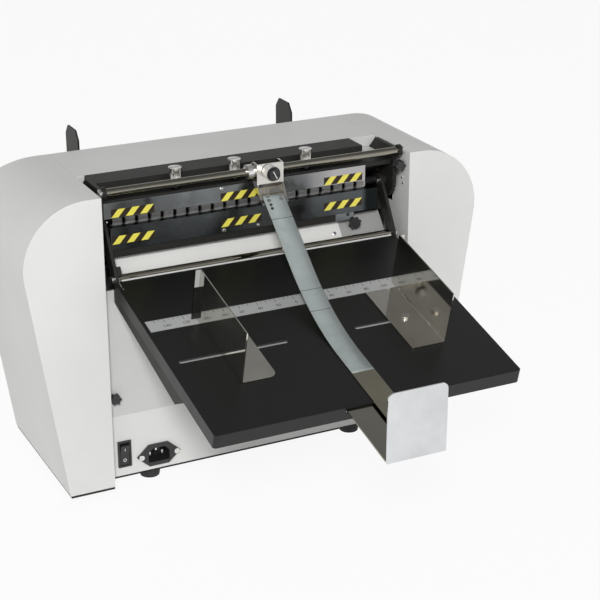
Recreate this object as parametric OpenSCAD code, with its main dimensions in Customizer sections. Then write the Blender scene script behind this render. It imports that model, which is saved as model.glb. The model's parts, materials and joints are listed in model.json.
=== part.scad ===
// Electric paper folding and creasing machine, seen from its delivery side.
// X runs across the machine, Y from the delivery tray to the feed side, Z up.
// The origin is on the table, under the middle of the overall box.
// Heights below are measured from the top of the base plate and depths from the front of the side covers.

/* [Body] */
// Greatest width over both side covers
body_w = 514.4; // [500:0.2:540]
// Clear width of the bay between the side covers
bay_w = 347.4; // [335:0.2:352]
// Depth of the side covers
body_d = 190; // [180:1:230]
// Depth of the flat top
top_d = 166; // [150:1:175]
// Height of the side covers
cover_top = 319; // [314:0.5:324]
// Radius of the covers' outer top corner
cover_r = 68; // [50:1:75]
// Inward lean of the covers' outer sides, degrees
cover_lean = 8; // [2:0.5:10]
// Wall of the side covers
cover_wall = 2; // [1.2:0.1:3]
// Depth of the cover wall that faces the bay
return_d = 36; // [30:1:40]
// Depth of the cover wall that faces the bay below the gears
return_low = 64; // [50:1:75]
// Wall of the folded sheet panels
panel_t = 1.5; // [1:0.1:2]
// How far the front panel stands behind the cover fronts
panel_back = 12; // [8:0.5:14]
// Top of the front panel
panel_top = 216; // [205:0.5:217]
// Gap between neighbouring panels
seam = 0.3; // [0.1:0.05:0.6]

/* [Base] */
// Thickness of the base plate
base_t = 3; // [2.5:0.5:6]
// How far the base plate stands inside the covers
base_inset = 1; // [0.5:0.1:1.8]
// How far the base plate stands behind the front panel
base_back = 10; // [6:0.5:12]
// Height of the front panel's lower edge over the base plate
panel_low = 4.8; // [3:0.1:6]
// Height of a rubber foot
foot_h = 9; // [5:0.5:15]
// Diameter of a rubber foot
foot_d = 24; // [16:1:36]
// Distance of the feet from the middle
foot_x = 122; // [90:1:190]
// Distance of the feet from the front and the rear
foot_y = 34; // [34:1:60]

/* [Frame plates] */
// Thickness of the frame plates
cheek_t = 4; // [3:0.1:4.4]
// Gap between a frame plate and its cover
cheek_gap = 4.7; // [4.2:0.1:6]
// Rear edge of the frame plates
cheek_rear = 150; // [140:1:160]
// Front edge of the frame plates at the rollers
cheek_front = 20; // [18:0.5:20]
// Front edge of the frame plates below the rollers
cheek_low_front = 46; // [44:1:50]
// Radius of the rounded step under the rollers
cheek_r = 24; // [20:1:24]
// Diameter of the tie rods between the frame plates
tie_d = 10; // [6:1:16]
// Radius of the ears that hold the upper rod
ear_r = 6; // [5:0.5:8]

/* [Rods] */
// Diameter of the two polished rods
rod_d = 8; // [6:0.1:9]
// Depth of the upper rod
upper_rod_y = 13.3; // [12:0.1:13.5]
// Height of the upper rod above the cover top
upper_rod_up = 0.5; // [0:0.1:2]
// Depth of the lower rod
lower_rod_y = 11; // [10:0.1:11.4]
// Height of the lower rod
lower_rod_z = 228; // [227.6:0.2:234]

/* [Paper path] */
// Height of the paper path
paper_z = 283; // [281:0.5:284]
// Radius of the transport rollers
roller_r = 8; // [7.2:0.2:8]
// Diameter of the roller shafts
shaft_d = 8; // [6:0.5:9]
// Wall of the bushes
bush_wall = 2; // [1.5:0.1:2.4]
// Depth of the exit rollers
exit_y = 56; // [54:0.5:60]
// Number of rubber rings on a roller
ring_count = 21; // [9:1:23]
// Width of a rubber ring
ring_w = 10; // [6:1:12]
// Half height of the gap between the guard plates
gap_half = 5; // [4.4:0.1:6]
// Thickness of the guard plates
guard_t = 1.5; // [1:0.1:2]
// Height of the upper guard plate
upper_guard_h = 17; // [14.5:0.5:18]
// Height of the lower guard plate
lower_guard_h = 24; // [21.5:0.5:25.5]
// Front face of the cross members behind the guard plates
beam_y = 24; // [23.6:0.2:26]
// Depth of the lower beam
beam_d = 20; // [18:1:22]
// Height of the lower beam
beam_h = 16.5; // [15:0.5:20]

/* [Gears and drive] */
// Teeth of a shaft gear
gear_teeth = 20; // [16:4:24]
// Teeth of the idler gear
idler_teeth = 35; // [33:2:37]
// Face width of the gears
gear_w = 7; // [5:0.5:9]
// Diameter of the idler stud
stud_d = 6; // [4:0.5:8]
// Radius of the belt pulleys
pulley_r = 14; // [10:0.5:16]
// Width of the belt
belt_w = 5.2; // [4:0.1:6]
// Thickness of the belt
belt_t = 1.6; // [1:0.1:2]
// Height of the motor axis
motor_z = 75; // [60:1:110]
// Diameter of the motor
motor_d = 60; // [40:1:70]
// Length of the motor
motor_l = 95; // [70:1:120]
// Radius of a creasing blade beyond the roller radius
blade_over = 0.3; // [0.1:0.05:0.4]
// Thickness of a creasing blade
blade_t = 1; // [0.6:0.1:1.4]

/* [Top channel] */
// Thickness of the channel floor
channel_floor = 5.5; // [4:0.5:7]
// Depth of the channel from front to rear
channel_d = 51; // [48:1:52]
// Depth of the raised rear rib
rib_d = 31; // [28:1:32]
// Length cut from the right end of the rib
rib_short = 25; // [10:1:40]
// Places of the thumb screws across the machine
thumb_x = [-82, -16, 66]; // [-100:1:100]
// Diameter of a thumb screw's head
thumb_d = 13.8; // [12:0.2:16]
// Height of a thumb screw's head
thumb_head = 5; // [3:0.5:8]
// Height of a thumb screw over the channel floor
thumb_h = 22; // [18:0.5:28]
// Diameter of a thumb screw's neck
thumb_neck = 10.6; // [8:0.2:11]

/* [Delivery tray] */
// Length of the tray
tray_len = 256; // [230:1:290]
// Slope of the tray, degrees
tray_angle = 13.9; // [12:0.1:16]
// Thickness of the tray
tray_t = 2; // [1.5:0.1:3]
// Height of the tray's folded edge
tray_lip = 14.5; // [11:0.1:18]
// Wall of the tray's folded edge
tray_wall = 1.5; // [1:0.1:2]
// Radius of the tray's front corners
tray_r = 3.5; // [3:0.5:10]
// Gap between the tray's rear edge and the lower rod's axis
tray_gap = 6.5; // [6:0.1:9]
// Height of the tray over the lower rod's axis
tray_rise = 1.4; // [0.5:0.1:2]
// Thickness of the arms that carry the tray
arm_t = 3.3; // [2.5:0.1:4]
// Gap between an arm and its frame plate
arm_gap = 3.7; // [3.2:0.1:5]
// Width of an arm's upper bar
arm_w = 15; // [12:0.5:16]
// Width of the fold at an arm's front edge
arm_fold = 4.5; // [3:0.5:7]
// Depth of an arm under the tray, near its front end
arm_depth = 32; // [20:0.5:36]
// Depth of an arm under the tray, at the lower rod
arm_rear = 24; // [18:0.5:30]
// Distance of the arms' front ends from the tray's front edge
arm_front = 55; // [50:1:120]
// Length of the slanted cut at an arm's front end
arm_slant = 38; // [10:1:50]
// Depth of the screw that carries an arm
pivot_y = 41; // [40:0.5:41.5]
// Height of the screw that carries an arm
pivot_z = 279; // [277:0.5:281]
// Width of the ruler strip
ruler_w = 18; // [12:0.5:24]
// Thickness of the ruler strip
ruler_t = 0.5; // [0.4:0.1:0.8]
// Distance of the ruler from the tray's front edge
ruler_s = 164.5; // [150:0.5:176]

/* [Guides] */
// Distance of the guide slots from the tray's front edge
slot_s = 112; // [100:1:130]
// Width of a guide slot
slot_w = 4.6; // [4.4:0.1:6]
// Inner end of a guide slot
slot_in = 37; // [36:0.5:42]
// Outer end of a guide slot
slot_out = 151.5; // [146:0.5:153]
// Place of the left guide's wall
left_guide_x = 108.5; // [104:0.5:112]
// Place of the right guide's wall
right_guide_x = 112.5; // [108:0.5:114]
// Width of a guide's foot
guide_foot = 37.5; // [32:0.5:40]
// Height of a guide's wall
guide_h = 58; // [30:1:75]
// Sheet thickness of a guide
guide_t = 1.2; // [0.8:0.1:2]
// Front end of a guide
guide_s = 63; // [40:1:80]
// Length of a guide's foot
guide_foot_l = 100; // [70:1:101]
// Length of a guide's wall
guide_wall_l = 111; // [80:1:130]
// Radius of the left guide foot's free corner
left_guide_r = 8; // [3:0.5:14]
// Radius of the right guide foot's free corner
right_guide_r = 3; // [2:0.5:14]
// Width of the fold at a guide's rear end
guide_fold = 5; // [4:0.5:12]
// Diameter of a guide's stud
guide_stud = 4; // [3:0.1:4.2]
// Gap under sliding pieces
glide = 0.3; // [0.2:0.05:0.5]

/* [Paper stop] */
// Width of the paper stop
stop_w = 61.5; // [40:0.5:66]
// Middle of the paper stop
stop_x = 1.5; // [-2:0.5:3]
// Height of the stop's upright plate
stop_h = 68.5; // [40:0.5:90]
// Sheet thickness of the stop
stop_t = 1.5; // [1:0.1:2]
// How far the stop is pulled out of the tray
stop_out = 79.8; // [78:0.2:110]
// Length of the tongue inside the tray
stop_in = 110; // [90:1:120]
// Radius of the stop's upper corners
stop_r = 6; // [2:0.5:12]

/* [Hold-down strip] */
// Middle of the strip and its clamp
clamp_x = 11; // [8:0.5:13]
// Width of the strip
strip_w = 24.5; // [18:0.5:25]
// Thickness of the strip
strip_t = 0.6; // [0.4:0.1:1]
// Slope of the strip under its clamp, degrees
strip_angle = 40.5; // [36:0.5:42]
// Radius of the bend onto the tray
strip_r = 257; // [180:1:280]
// How far the strip reaches past the tray's front edge
strip_past = 42; // [20:1:43]
// Width of the clamp's bracket
clamp_w = 30; // [27:0.5:36]
// Sheet thickness of the clamp's bracket
clamp_t = 1.8; // [1.2:0.1:2]
// Wall of the sleeve on the rod
sleeve_wall = 1.75; // [1.2:0.05:1.8]
// How far the sleeve stands out on the left of the bracket
sleeve_out = 8; // [4:0.5:12]
// Distance from the rod's axis to the strip
strip_drop = 8.5; // [8.3:0.1:8.6]
// Distance along the slope from the rod to the strip's end
strip_start = 24; // [22:0.5:28]
// Length of the sloping lip under the strip
lip_l = 36; // [32:0.5:40]
// Radius of the clamp knob
clamp_knob_r = 7.5; // [5:0.25:9]
// Length of the clamp knob's grip
clamp_grip = 12; // [6:0.5:14]

/* [Knobs and switch] */
// Radius of the small black knobs
knob_r = 6; // [4:0.25:6.2]
// Length of a knob's grip
knob_l = 9; // [6:0.5:10]
// Length of a knob's neck
knob_neck = 4; // [2:0.5:5]
// Length of the front panel knob's grip
panel_knob_l = 5; // [4:0.5:9]
// Length of the front panel knob's neck
panel_knob_neck = 1.5; // [1:0.5:4]
// Diameter of a knob's thread
knob_pin = 3; // [2:0.1:3.2]
// Middle of the rocker switch across the machine
rocker_x = -157.9; // [-160:0.1:-156]
// Middle of the rocker switch
rocker_z = 30.2; // [20:0.2:60]
// Width of the switch's bezel
bezel_w = 14.8; // [12:0.1:18]
// Height of the switch's bezel
bezel_h = 30; // [24:0.5:34]
// Tilt of the rocker each way, degrees
rocker_tilt = 8; // [5:0.5:10]
// Middle of the power inlet across the machine
inlet_x = -119.7; // [-124:0.1:-110]
// Middle of the power inlet
inlet_z = 22; // [18:0.2:60]
// Distance between the inlet's screws
inlet_pitch = 40; // [39:0.1:41]

/* [Feed side] */
// Rear edge of the feed table
table_rear = 240; // [225:1:245]
// Width of the feed table
table_w = 320; // [300:1:325]
// Drop of the feed table under the paper path
table_drop = 1.5; // [1:0.1:3]
// Height of the feed table's folded edge
table_lip = 12; // [8:0.5:20]
// Height of the feed mouth
mouth_h = 7; // [6:0.5:9]
// Place of the feed guides from the middle
feed_guide_x = 130; // [110:1:140]
// Height of a feed guide
feed_guide_h = 48; // [30:1:52]
// Outer end of a feed guide's slot
feed_slot_out = 146; // [142:0.5:147]
// Inner end of a feed guide's slot
feed_slot_in = 60; // [50:1:80]

/* [Hidden] */
$fn = 48;
fit = 0.05;
half_bay = bay_w / 2;
cheek_out = half_bay - cheek_gap;
cheek_in = cheek_out - cheek_t;
arm_out = cheek_in - arm_gap;
arm_in = arm_out - arm_t;
cover_cx = body_w / 2 - cover_r;
cover_cz = cover_top - cover_r;
cover_foot = cover_cx + (cover_r - cover_cz * sin(cover_lean)) / cos(cover_lean);
rod_r = rod_d / 2;
shaft_r = shaft_d / 2;
upper_rod_z = cover_top + upper_rod_up;
upper_axis = paper_z + roller_r;
lower_axis = paper_z - roller_r;
channel_z = upper_axis + roller_r + 2.5;
channel_top = channel_z + channel_floor;
rib_y = beam_y + channel_d - rib_d;
thumb_y = (beam_y + rib_y) / 2;
upper_guard_z = paper_z + gap_half;
lower_guard_z = paper_z - gap_half - lower_guard_h;
beam_over = 8;
beam_z = lower_guard_z + beam_over - beam_h;
guard_lip = beam_y + 6;
guard_short = 10;
gear_m = 2 * roller_r / gear_teeth;
idler_r = gear_m * idler_teeth / 2;
blade_y = exit_y + 2 * (roller_r + idler_r);
idler_y = exit_y + roller_r + idler_r;
gear_x = cheek_out + 1;
pulley_x = -cheek_out - 1.5;
pulley_w = belt_w + 0.8;
ring_margin = 12;
ring_span = arm_in - ring_margin;
ramp_low = [panel_back + panel_t / 2, panel_top + seam];
ramp_in = 13;
ramp_high = [beam_y + ramp_in, beam_z - seam];
ramp_angle = atan2(ramp_high[1] - ramp_low[1], ramp_high[0] - ramp_low[0]);
ramp_len = norm(ramp_high - ramp_low) - panel_t;
tray_half = arm_out + 0.2 + tray_wall;
tray_reach = tray_len + tray_gap;
stud_in = guide_foot / 2;
guide_rear = guide_s + guide_wall_l;
tongue_h = tray_t + glide;
rail_gap = 0.3;
front_edge = [lower_rod_y - tray_reach * cos(tray_angle) - tray_rise * sin(tray_angle),
              lower_rod_z - tray_reach * sin(tray_angle) + tray_rise * cos(tray_angle)];
stop_low = tongue_h + stop_t;
front_reach = front_edge[0] - stop_out * cos(tray_angle) + stop_low * sin(tray_angle);
table_z = paper_z - table_drop;
lip_z = table_z + mouth_h;
slope_dir = atan2(cover_top - lip_z, body_d - top_d);
shift_y = -(front_reach + table_rear) / 2;
lift_z = foot_h + base_t;
sleeve_r = rod_r + sleeve_wall;
clamp_half = clamp_w / 2;
inlet_wall = 1.8;
inlet_deep = 18;
inlet_mouth_w = 24;
inlet_mouth_h = 16;
inlet_cut = 5;
bezel_wall = 2;
bezel_deep = 16;
cheek_top = cover_top + 2;
cheek_cut = cheek_top - channel_top;
cheek_drop = 15;
cheek_step = lower_axis - cheek_drop;
cheek_back = blade_y - 10;
wall_step = cheek_step - 6;
top_front = beam_y + channel_d + 1;
tie_low = 30;
tie_high = 200;
tie_front = cheek_low_front + 14;
tie_rear = cheek_rear - 12;
tie_places = [[tie_front, tie_low], [tie_rear, tie_low], [tie_rear, tie_high]];
side_knob_up = 12;
side_knob_z = upper_axis + side_knob_up;
screw_r = 2;
head_r = 4;
head_h = 2.6;
thumb_pin = 3;
ramp_knob_x = 120;
ramp_knob_s = 25;
ramp_seam_x = 104.5;
ramp_more = 3;
beam_end = ramp_seam_x - 1;
tray_side_notch = arm_t + tray_wall + 1.2;
rail_x = stop_w / 2 + rail_gap;
rail_t = 1.5;
rail_lip = 4;
rail_past = 42;
arm_fold_t = 2.5;
arm_fold_l = 11;
arm_fold_z = arm_w / 2 - 0.4;
bar_dir = atan2(pivot_z - lower_rod_z, pivot_y - lower_rod_y);
clamp_front = -sleeve_r - 1.7 - clamp_t;
clamp_rise = 8.5;
clamp_knob_x = -2;
clamp_knob_z = 1;
strip_screw_x = [-7, 7];
strip_screw_p = [4, 9];
strip_screw_r = 1.2;
panel_knob_x = -half_bay + knob_r + 1.5;
panel_knob_z = 97;
rocker_gap = 0.5;
pin_r = 2;
rocker_axis = 4;
inlet_flange_t = 2.4;
flange_w = 24.6;
flange_h = 12.4;
flange_flat = 11;
feed_slot_y = (body_d + table_rear) / 2;
motor_bore = 14;
steel = [0.72, 0.72, 0.7];
grey = [0.85, 0.85, 0.84];
black = [0.13, 0.13, 0.13];
rubber = [0.08, 0.08, 0.08];

// Moves a piece from the body's own heights and depths to the part's frame
module place() { translate([0, shift_y, lift_z]) children(); }

// Box between two corners
module box(low, high) { translate(low) cube(high - low); }

// Round bar along X
module bar_x(x0, x1, y, z, r) { translate([x0, y, z]) rotate([0, 90, 0]) cylinder(h = x1 - x0, r = r); }

// Plate drawn in depth and height, thick along X
module side_plate(x0, t) { translate([x0, 0, 0]) rotate([90, 0, 90]) linear_extrude(t) children(); }

// Plate drawn across and in height, thick along Y
module face_plate(y0, t) { translate([0, y0 + t, 0]) rotate([90, 0, 0]) linear_extrude(t) children(); }

// Puts children on the tray: X across, Y up the slope from the front edge, Z off the surface
module on_tray() {
    translate([0, lower_rod_y, lower_rod_z]) rotate([tray_angle, 0, 0])
        translate([0, -tray_reach, tray_rise]) children();
}

// Mirrors a right-hand piece to the left
module left() { mirror([1, 0, 0]) children(); }

// Front view of the right cover, drawn smaller by inset
module cover_face(inset) {
    r = cover_r - inset;
    tip = [cover_cx + r * cos(cover_lean), cover_cz - r * sin(cover_lean)];
    intersection() {
        union() {
            translate([cover_cx, cover_cz]) circle(r, $fn = 96);
            polygon([[half_bay, 0], [cover_foot - inset / cos(cover_lean), 0], tip, [cover_cx, cover_cz],
                     [cover_cx, cover_top - inset], [half_bay, cover_top - inset]]);
        }
        translate([half_bay + inset, 0]) square([cover_r * 3, cover_top]);
    }
}

// Side view of the covers, drawn smaller by inset
module cover_side(inset) {
    lean = inset * tan(slope_dir / 2);
    drop = inset * tan(45 - slope_dir / 2);
    polygon([[inset, 0], [inset, cover_top - inset], [top_d - lean, cover_top - inset],
             [body_d - inset, lip_z - drop], [body_d - inset, 0]]);
}

module cover_solid(inset) {
    intersection() {
        face_plate(0, body_d) cover_face(inset);
        side_plate(half_bay, cover_r * 3) cover_side(inset);
    }
}

module right_cover_shape() {
    difference() {
        cover_solid(0);
        cover_solid(cover_wall);
        box([half_bay - 1, return_low, -1],
            [half_bay + cover_wall + 1, body_d - cover_wall, lip_z - cover_wall * 2]);
        box([half_bay - 1, return_d, wall_step],
            [half_bay + cover_wall + 1, top_d - cover_wall, cover_top - cover_wall]);
    }
}

module right_cover() { place() color(grey) right_cover_shape(); }
module left_cover() { place() color(grey) left() right_cover_shape(); }

// Base plate, cut back between the covers, with the upright lip that the front panel is fixed to
module base_plate() {
    half = cover_foot - base_inset;
    bay = half_bay - seam;
    front = panel_back + base_back;
    place() color(black) difference() {
        union() {
            box([-half, base_inset, -base_t], [half, body_d - base_inset, 0]);
            box([-bay, front, -base_t], [bay, front + panel_t, panel_low + 2 * panel_t]);
        }
        box([-half_bay, base_inset - 1, -base_t - 1], [half_bay, front, 1]);
    }
}

module rubber_feet() {
    place() color(rubber)
        for (x = [-foot_x, foot_x], y = [foot_y, body_d - foot_y])
            translate([x, y, -base_t - foot_h]) cylinder(h = foot_h, d1 = foot_d - 3, d2 = foot_d);
}

// Outline of the power inlet's flange
module inlet_flange() {
    polygon([[-flange_w, 0], [-flange_flat, flange_h], [flange_flat, flange_h],
             [flange_w, 0], [flange_flat, -flange_h], [-flange_flat, -flange_h]]);
}

module inlet_mouth(grow) {
    wide = inlet_mouth_w / 2 + grow;
    high = inlet_mouth_h / 2 + grow;
    polygon([[-wide, -high], [wide, -high], [wide, high - inlet_cut], [wide - inlet_cut, high],
             [inlet_cut - wide, high], [-wide, high - inlet_cut]]);
}

module front_panel() {
    half = half_bay - seam;
    place() color(grey) difference() {
        union() {
            box([-half, panel_back, panel_low], [half, panel_back + panel_t, panel_top]);
            box([-half, panel_back, panel_low], [half, panel_back + base_back, panel_low + panel_t]);
        }
        face_plate(panel_back - 1, panel_t + 2) {
            translate([inlet_x, inlet_z]) inlet_mouth(inlet_wall + fit);
            translate([rocker_x - bezel_w / 2 + 1, rocker_z - bezel_h / 2 + 1])
                square([bezel_w - 2, bezel_h - 2]);
        }
        translate([panel_knob_x, panel_back - 1, panel_knob_z]) rotate([-90, 0, 0])
            cylinder(h = panel_t + 2, d = knob_pin + 2 * fit);
    }
}

module rear_panel() {
    half = half_bay - seam;
    place() color(grey) box([-half, body_d - panel_t, 0], [half, body_d, table_z - panel_t]);
}

// Top sheet, front fold and the slope down to the feed mouth
module top_cover() {
    half = half_bay - seam;
    y0 = top_front;
    lean = panel_t * tan(slope_dir / 2);
    place() color(grey) side_plate(-half, 2 * half)
        polygon([[y0, cover_top], [top_d, cover_top], [body_d, lip_z],
                 [body_d - panel_t / sin(slope_dir), lip_z],
                 [top_d - lean, cover_top - panel_t], [y0 + panel_t, cover_top - panel_t],
                 [y0 + panel_t, channel_top], [y0, channel_top]]);
}

// Right-hand frame plate with its holes
module cheek_plate() {
    y1 = cheek_front + cheek_r;
    shoulder = upper_axis + 8;
    difference() {
        union() {
            box([cheek_in, cheek_low_front, 0], [cheek_out, cheek_rear, shoulder]);
            side_plate(cheek_in, cheek_t)
                polygon([[upper_rod_y, cheek_top], [top_front - seam - cheek_cut, cheek_top],
                         [top_front - seam, channel_top], [top_front - seam, channel_top - seam],
                         [cheek_back, shoulder - 1],
                         [cheek_back, cheek_step], [y1, cheek_step], [y1, cheek_step + cheek_r],
                         [cheek_front, cheek_step + cheek_r], [cheek_front, upper_rod_z - ear_r - 3],
                         [upper_rod_y - ear_r, upper_rod_z]]);
            bar_x(cheek_in, cheek_out, y1, cheek_step + cheek_r, cheek_r);
            bar_x(cheek_in, cheek_out, upper_rod_y, upper_rod_z, ear_r);
        }
        for (y = [exit_y, blade_y], z = [lower_axis, upper_axis])
            bar_x(cheek_in - 1, cheek_out + 1, y, z, shaft_r + bush_wall + 2 * fit);
        bar_x(cheek_in - 1, cheek_out + 1, pivot_y, pivot_z, screw_r + fit);
        bar_x(cheek_in - 1, cheek_out + 1, upper_rod_y, upper_rod_z, screw_r + fit);
    }
}

module right_cheek() {
    place() color(black) union() {
        difference() {
            cheek_plate();
            translate([cheek_in + cheek_t / 2, cheek_front - 1, side_knob_z]) rotate([-90, 0, 0])
                cylinder(h = 11, d = knob_pin + 2 * fit);
        }
        bar_x(cheek_out, gear_x + gear_w + 1, idler_y, lower_axis, stud_d / 2);
    }
}

module left_cheek() {
    place() color(black) left() difference() {
        cheek_plate();
        bar_x(cheek_in - 1, cheek_out + 1, blade_y, motor_z, shaft_r + 4);
    }
}

module tie_rods() {
    place() color(steel) for (p = tie_places) bar_x(-cheek_in, cheek_in, p[0], p[1], tie_d / 2);
}

module lower_beam() {
    tab = 4;
    half = arm_in - 1;
    place() color(black) union() {
        box([-half, beam_y, beam_z], [beam_end, beam_y + beam_d, beam_z + beam_h]);
        box([-cheek_in, beam_y + beam_d - tab, beam_z], [cheek_in, beam_y + beam_d, beam_z + beam_h]);
    }
}

module top_channel() {
    place() color(black) difference() {
        union() {
            box([-cheek_in, beam_y, channel_z], [cheek_in, beam_y + channel_d, channel_top]);
            box([-cheek_in, rib_y, channel_top], [cheek_in - rib_short, beam_y + channel_d, cover_top + 1]);
        }
        for (x = thumb_x) translate([x, thumb_y, channel_z - 1])
            cylinder(h = channel_floor + 2, r = thumb_pin + fit);
    }
}

module upper_guard() {
    x0 = -cheek_in + seam;
    x1 = cheek_in - rib_short - 8;
    place() color(steel) union() {
        box([x0, beam_y - guard_t, upper_guard_z], [x1, beam_y, upper_guard_z + upper_guard_h]);
        box([x0, beam_y - guard_t, upper_guard_z], [x1, guard_lip, upper_guard_z + guard_t]);
    }
}

module lower_guard() {
    x0 = seam - arm_in;
    x1 = arm_in - guard_short;
    top = lower_guard_z + lower_guard_h;
    place() color(steel) union() {
        box([x0, beam_y - guard_t, lower_guard_z], [x1, beam_y, top]);
        box([x0, beam_y - guard_t, top - guard_t], [x1, guard_lip, top]);
    }
}

// Puts children on the ramp: X across, Y up the slope, Z off the surface
module on_ramp() { translate([0, ramp_low[0], ramp_low[1]]) rotate([ramp_angle, 0, 0]) children(); }

module ramp_plate() {
    half = arm_in - 1;
    place() color("whitesmoke") on_ramp() difference() {
        union() {
            box([-half, panel_t, -panel_t], [half, ramp_len, 0]);
            box([ramp_seam_x, panel_t, -panel_t], [half, ramp_len + ramp_more, 0]);
            box([-half, panel_t, -panel_t], [ramp_seam_x, ramp_len - 3, panel_t]);
        }
        translate([ramp_knob_x, ramp_knob_s, -panel_t - 1])
            cylinder(h = panel_t + 2, d = knob_pin + 2 * fit);
    }
}

module upper_rod() { place() color(steel) bar_x(-cheek_in, cheek_in, upper_rod_y, upper_rod_z, rod_r); }
module lower_rod() { place() color(steel) bar_x(-arm_in, arm_in, lower_rod_y, lower_rod_z, rod_r); }

// Bent arm that hangs from the frame plate and runs forward under the tray
module arm_outline() {
    bar_len = norm([pivot_y - lower_rod_y, pivot_z - lower_rod_z]);
    difference() {
        union() {
            translate([pivot_y, pivot_z]) circle(arm_w / 2);
            translate([lower_rod_y, lower_rod_z]) circle(arm_w / 2);
            translate([lower_rod_y, lower_rod_z]) rotate(bar_dir) translate([0, -arm_w / 2])
                square([bar_len, arm_w]);
            intersection() {
                translate([lower_rod_y, lower_rod_z]) rotate(tray_angle) translate([-tray_reach, tray_rise])
                    polygon([[arm_front, -tray_t], [tray_reach, -tray_t], [tray_reach, -tray_t - arm_rear],
                             [arm_front + arm_slant, -tray_t - arm_depth]]);
                translate([panel_back - 0.5 - tray_reach, 0]) square([tray_reach, cover_top]);
            }
        }
        translate([pivot_y, pivot_z]) circle(screw_r + fit);
        translate([lower_rod_y, lower_rod_z]) circle(screw_r + fit);
    }
}

module right_arm_shape() {
    union() {
        side_plate(arm_in, arm_t) arm_outline();
        translate([0, lower_rod_y, lower_rod_z]) rotate([bar_dir, 0, 0])
            box([arm_in - arm_fold, 1, arm_fold_z - arm_fold_t], [arm_in + 1, arm_fold_l, arm_fold_z]);
        difference() {
            bar_x(arm_out, cheek_in, pivot_y, pivot_z, arm_w / 2 - 1);
            bar_x(arm_out - 1, cheek_in + 1, pivot_y, pivot_z, screw_r + fit);
        }
    }
}

module right_arm() { place() color(black) right_arm_shape(); }
module left_arm() { place() color(black) left() right_arm_shape(); }

// Pan-head screw along Z with its head's seat at the origin
module screw(shank) {
    cylinder(h = head_h, r = head_r);
    translate([0, 0, -shank]) cylinder(h = shank, r = screw_r);
}

module frame_screws() {
    place() color(steel) {
        for (side = [0, 1]) mirror([side, 0, 0]) {
            translate([cheek_out, upper_rod_y, upper_rod_z]) rotate([0, 90, 0]) screw(cheek_t);
            translate([arm_out, lower_rod_y, lower_rod_z]) rotate([0, 90, 0]) screw(arm_t);
            translate([arm_in, pivot_y, pivot_z]) rotate([0, -90, 0]) screw(arm_t + arm_gap + cheek_t);
        }
        for (x = [-1, 1]) translate([inlet_x + x * inlet_pitch / 2, panel_back - inlet_flange_t, inlet_z])
            rotate([90, 0, 0]) cylinder(h = 1.6, r = 3);
    }
}

// Tray seen from above, drawn smaller by inset, open at its rear
module tray_outline(inset) {
    half = tray_half - inset;
    r = tray_r - inset;
    translate([-half, tray_r]) square([2 * half, tray_len - tray_r]);
    translate([-half + r, inset]) square([2 * (half - r), tray_r]);
    for (x = [-half + r, half - r]) translate([x, tray_r]) circle(r);
}

module tray() {
    rail_low = -tongue_h - stop_t - glide;
    rail_end = stop_in + rail_past;
    place() color(black) on_tray() difference() {
        translate([0, 0, -tray_lip]) linear_extrude(tray_lip) tray_outline(0);
        difference() {
            translate([0, 0, -tray_lip - 1]) linear_extrude(tray_lip + 1 - tray_t) tray_outline(tray_wall);
            for (side = [0, 1]) translate([stop_x, 0, 0]) mirror([side, 0, 0]) {
                box([rail_x, 0, rail_low - rail_t], [rail_x + rail_t, rail_end, 0]);
                box([rail_x - rail_lip, 3, rail_low - rail_t], [rail_x, rail_end, rail_low]);
            }
        }
        for (x = [-tray_half - 1, tray_half - tray_wall])
            box([x, tray_len - arm_w, -tray_lip - 1], [x + tray_wall + 1, tray_len + 1, -tray_t]);
        box([stop_x - rail_x, -1, rail_low - rail_t - 1], [stop_x + rail_x, tray_wall + 1, -tray_t]);
        for (side = [0, 1]) mirror([side, 0, 0]) {
            box([tray_half - tray_side_notch, tray_len - arm_w, -tray_t - 1],
                [tray_half + 1, tray_len + 1, 1]);
            translate([0, slot_s, -tray_t - 1]) linear_extrude(tray_t + 2) slot(slot_in, slot_out, slot_w);
        }
        box([-tray_half + 4, ruler_s, -ruler_t], [tray_half, ruler_s + ruler_w, 1]);
    }
}

// Slot with round ends between two places on X
module slot(x0, x1, w) {
    translate([x0 + w / 2, -w / 2]) square([x1 - x0 - w, w]);
    for (x = [x0 + w / 2, x1 - w / 2]) translate([x, 0]) circle(w / 2);
}

module ruler() {
    place() color([0.6, 0.62, 0.62]) on_tray()
        box([-tray_half + 4 + fit, ruler_s + fit, -ruler_t], [tray_half - fit, ruler_s + ruler_w - fit, 0]);
}

// Right-hand guide with its wall at X = 0 and its foot towards the middle
module guide(r) {
    difference() {
        union() {
            translate([0, guide_s, glide]) linear_extrude(guide_t) difference() {
                translate([-guide_foot, 0]) square([guide_foot, guide_foot_l]);
                translate([-guide_foot, 0]) difference() {
                    square(r);
                    translate([r, r]) circle(r);
                }
            }
            box([-guide_t, guide_s, glide], [0, guide_rear, glide + guide_h]);
            box([-guide_t, guide_rear - guide_t, glide], [guide_fold, guide_rear, glide + guide_h]);
        }
        translate([-stud_in, slot_s, 0]) cylinder(h = guide_t + 1, d = guide_stud + 2 * fit);
    }
}

// Stud, head and nut that hold a guide in its slot
module guide_fixing(t) {
    translate([0, 0, glide + guide_t]) cylinder(h = head_h, r = head_r);
    translate([0, 0, -t - 6]) cylinder(h = t + 6 + glide + guide_t, d = guide_stud);
    translate([0, 0, -t - glide - 3.2]) cylinder(h = 3.2, r = head_r + 0.5, $fn = 6);
}

module right_guide() {
    place() color(steel) on_tray() translate([right_guide_x, 0, 0]) guide(right_guide_r);
}
module left_guide() {
    place() color(steel) on_tray() left() translate([left_guide_x, 0, 0]) guide(left_guide_r);
}

module right_guide_screw() {
    place() color(steel) on_tray() translate([right_guide_x - stud_in, slot_s, 0]) guide_fixing(tray_t);
}

module left_guide_screw() {
    place() color(steel) on_tray() translate([stud_in - left_guide_x, slot_s, 0]) guide_fixing(tray_t);
}

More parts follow.
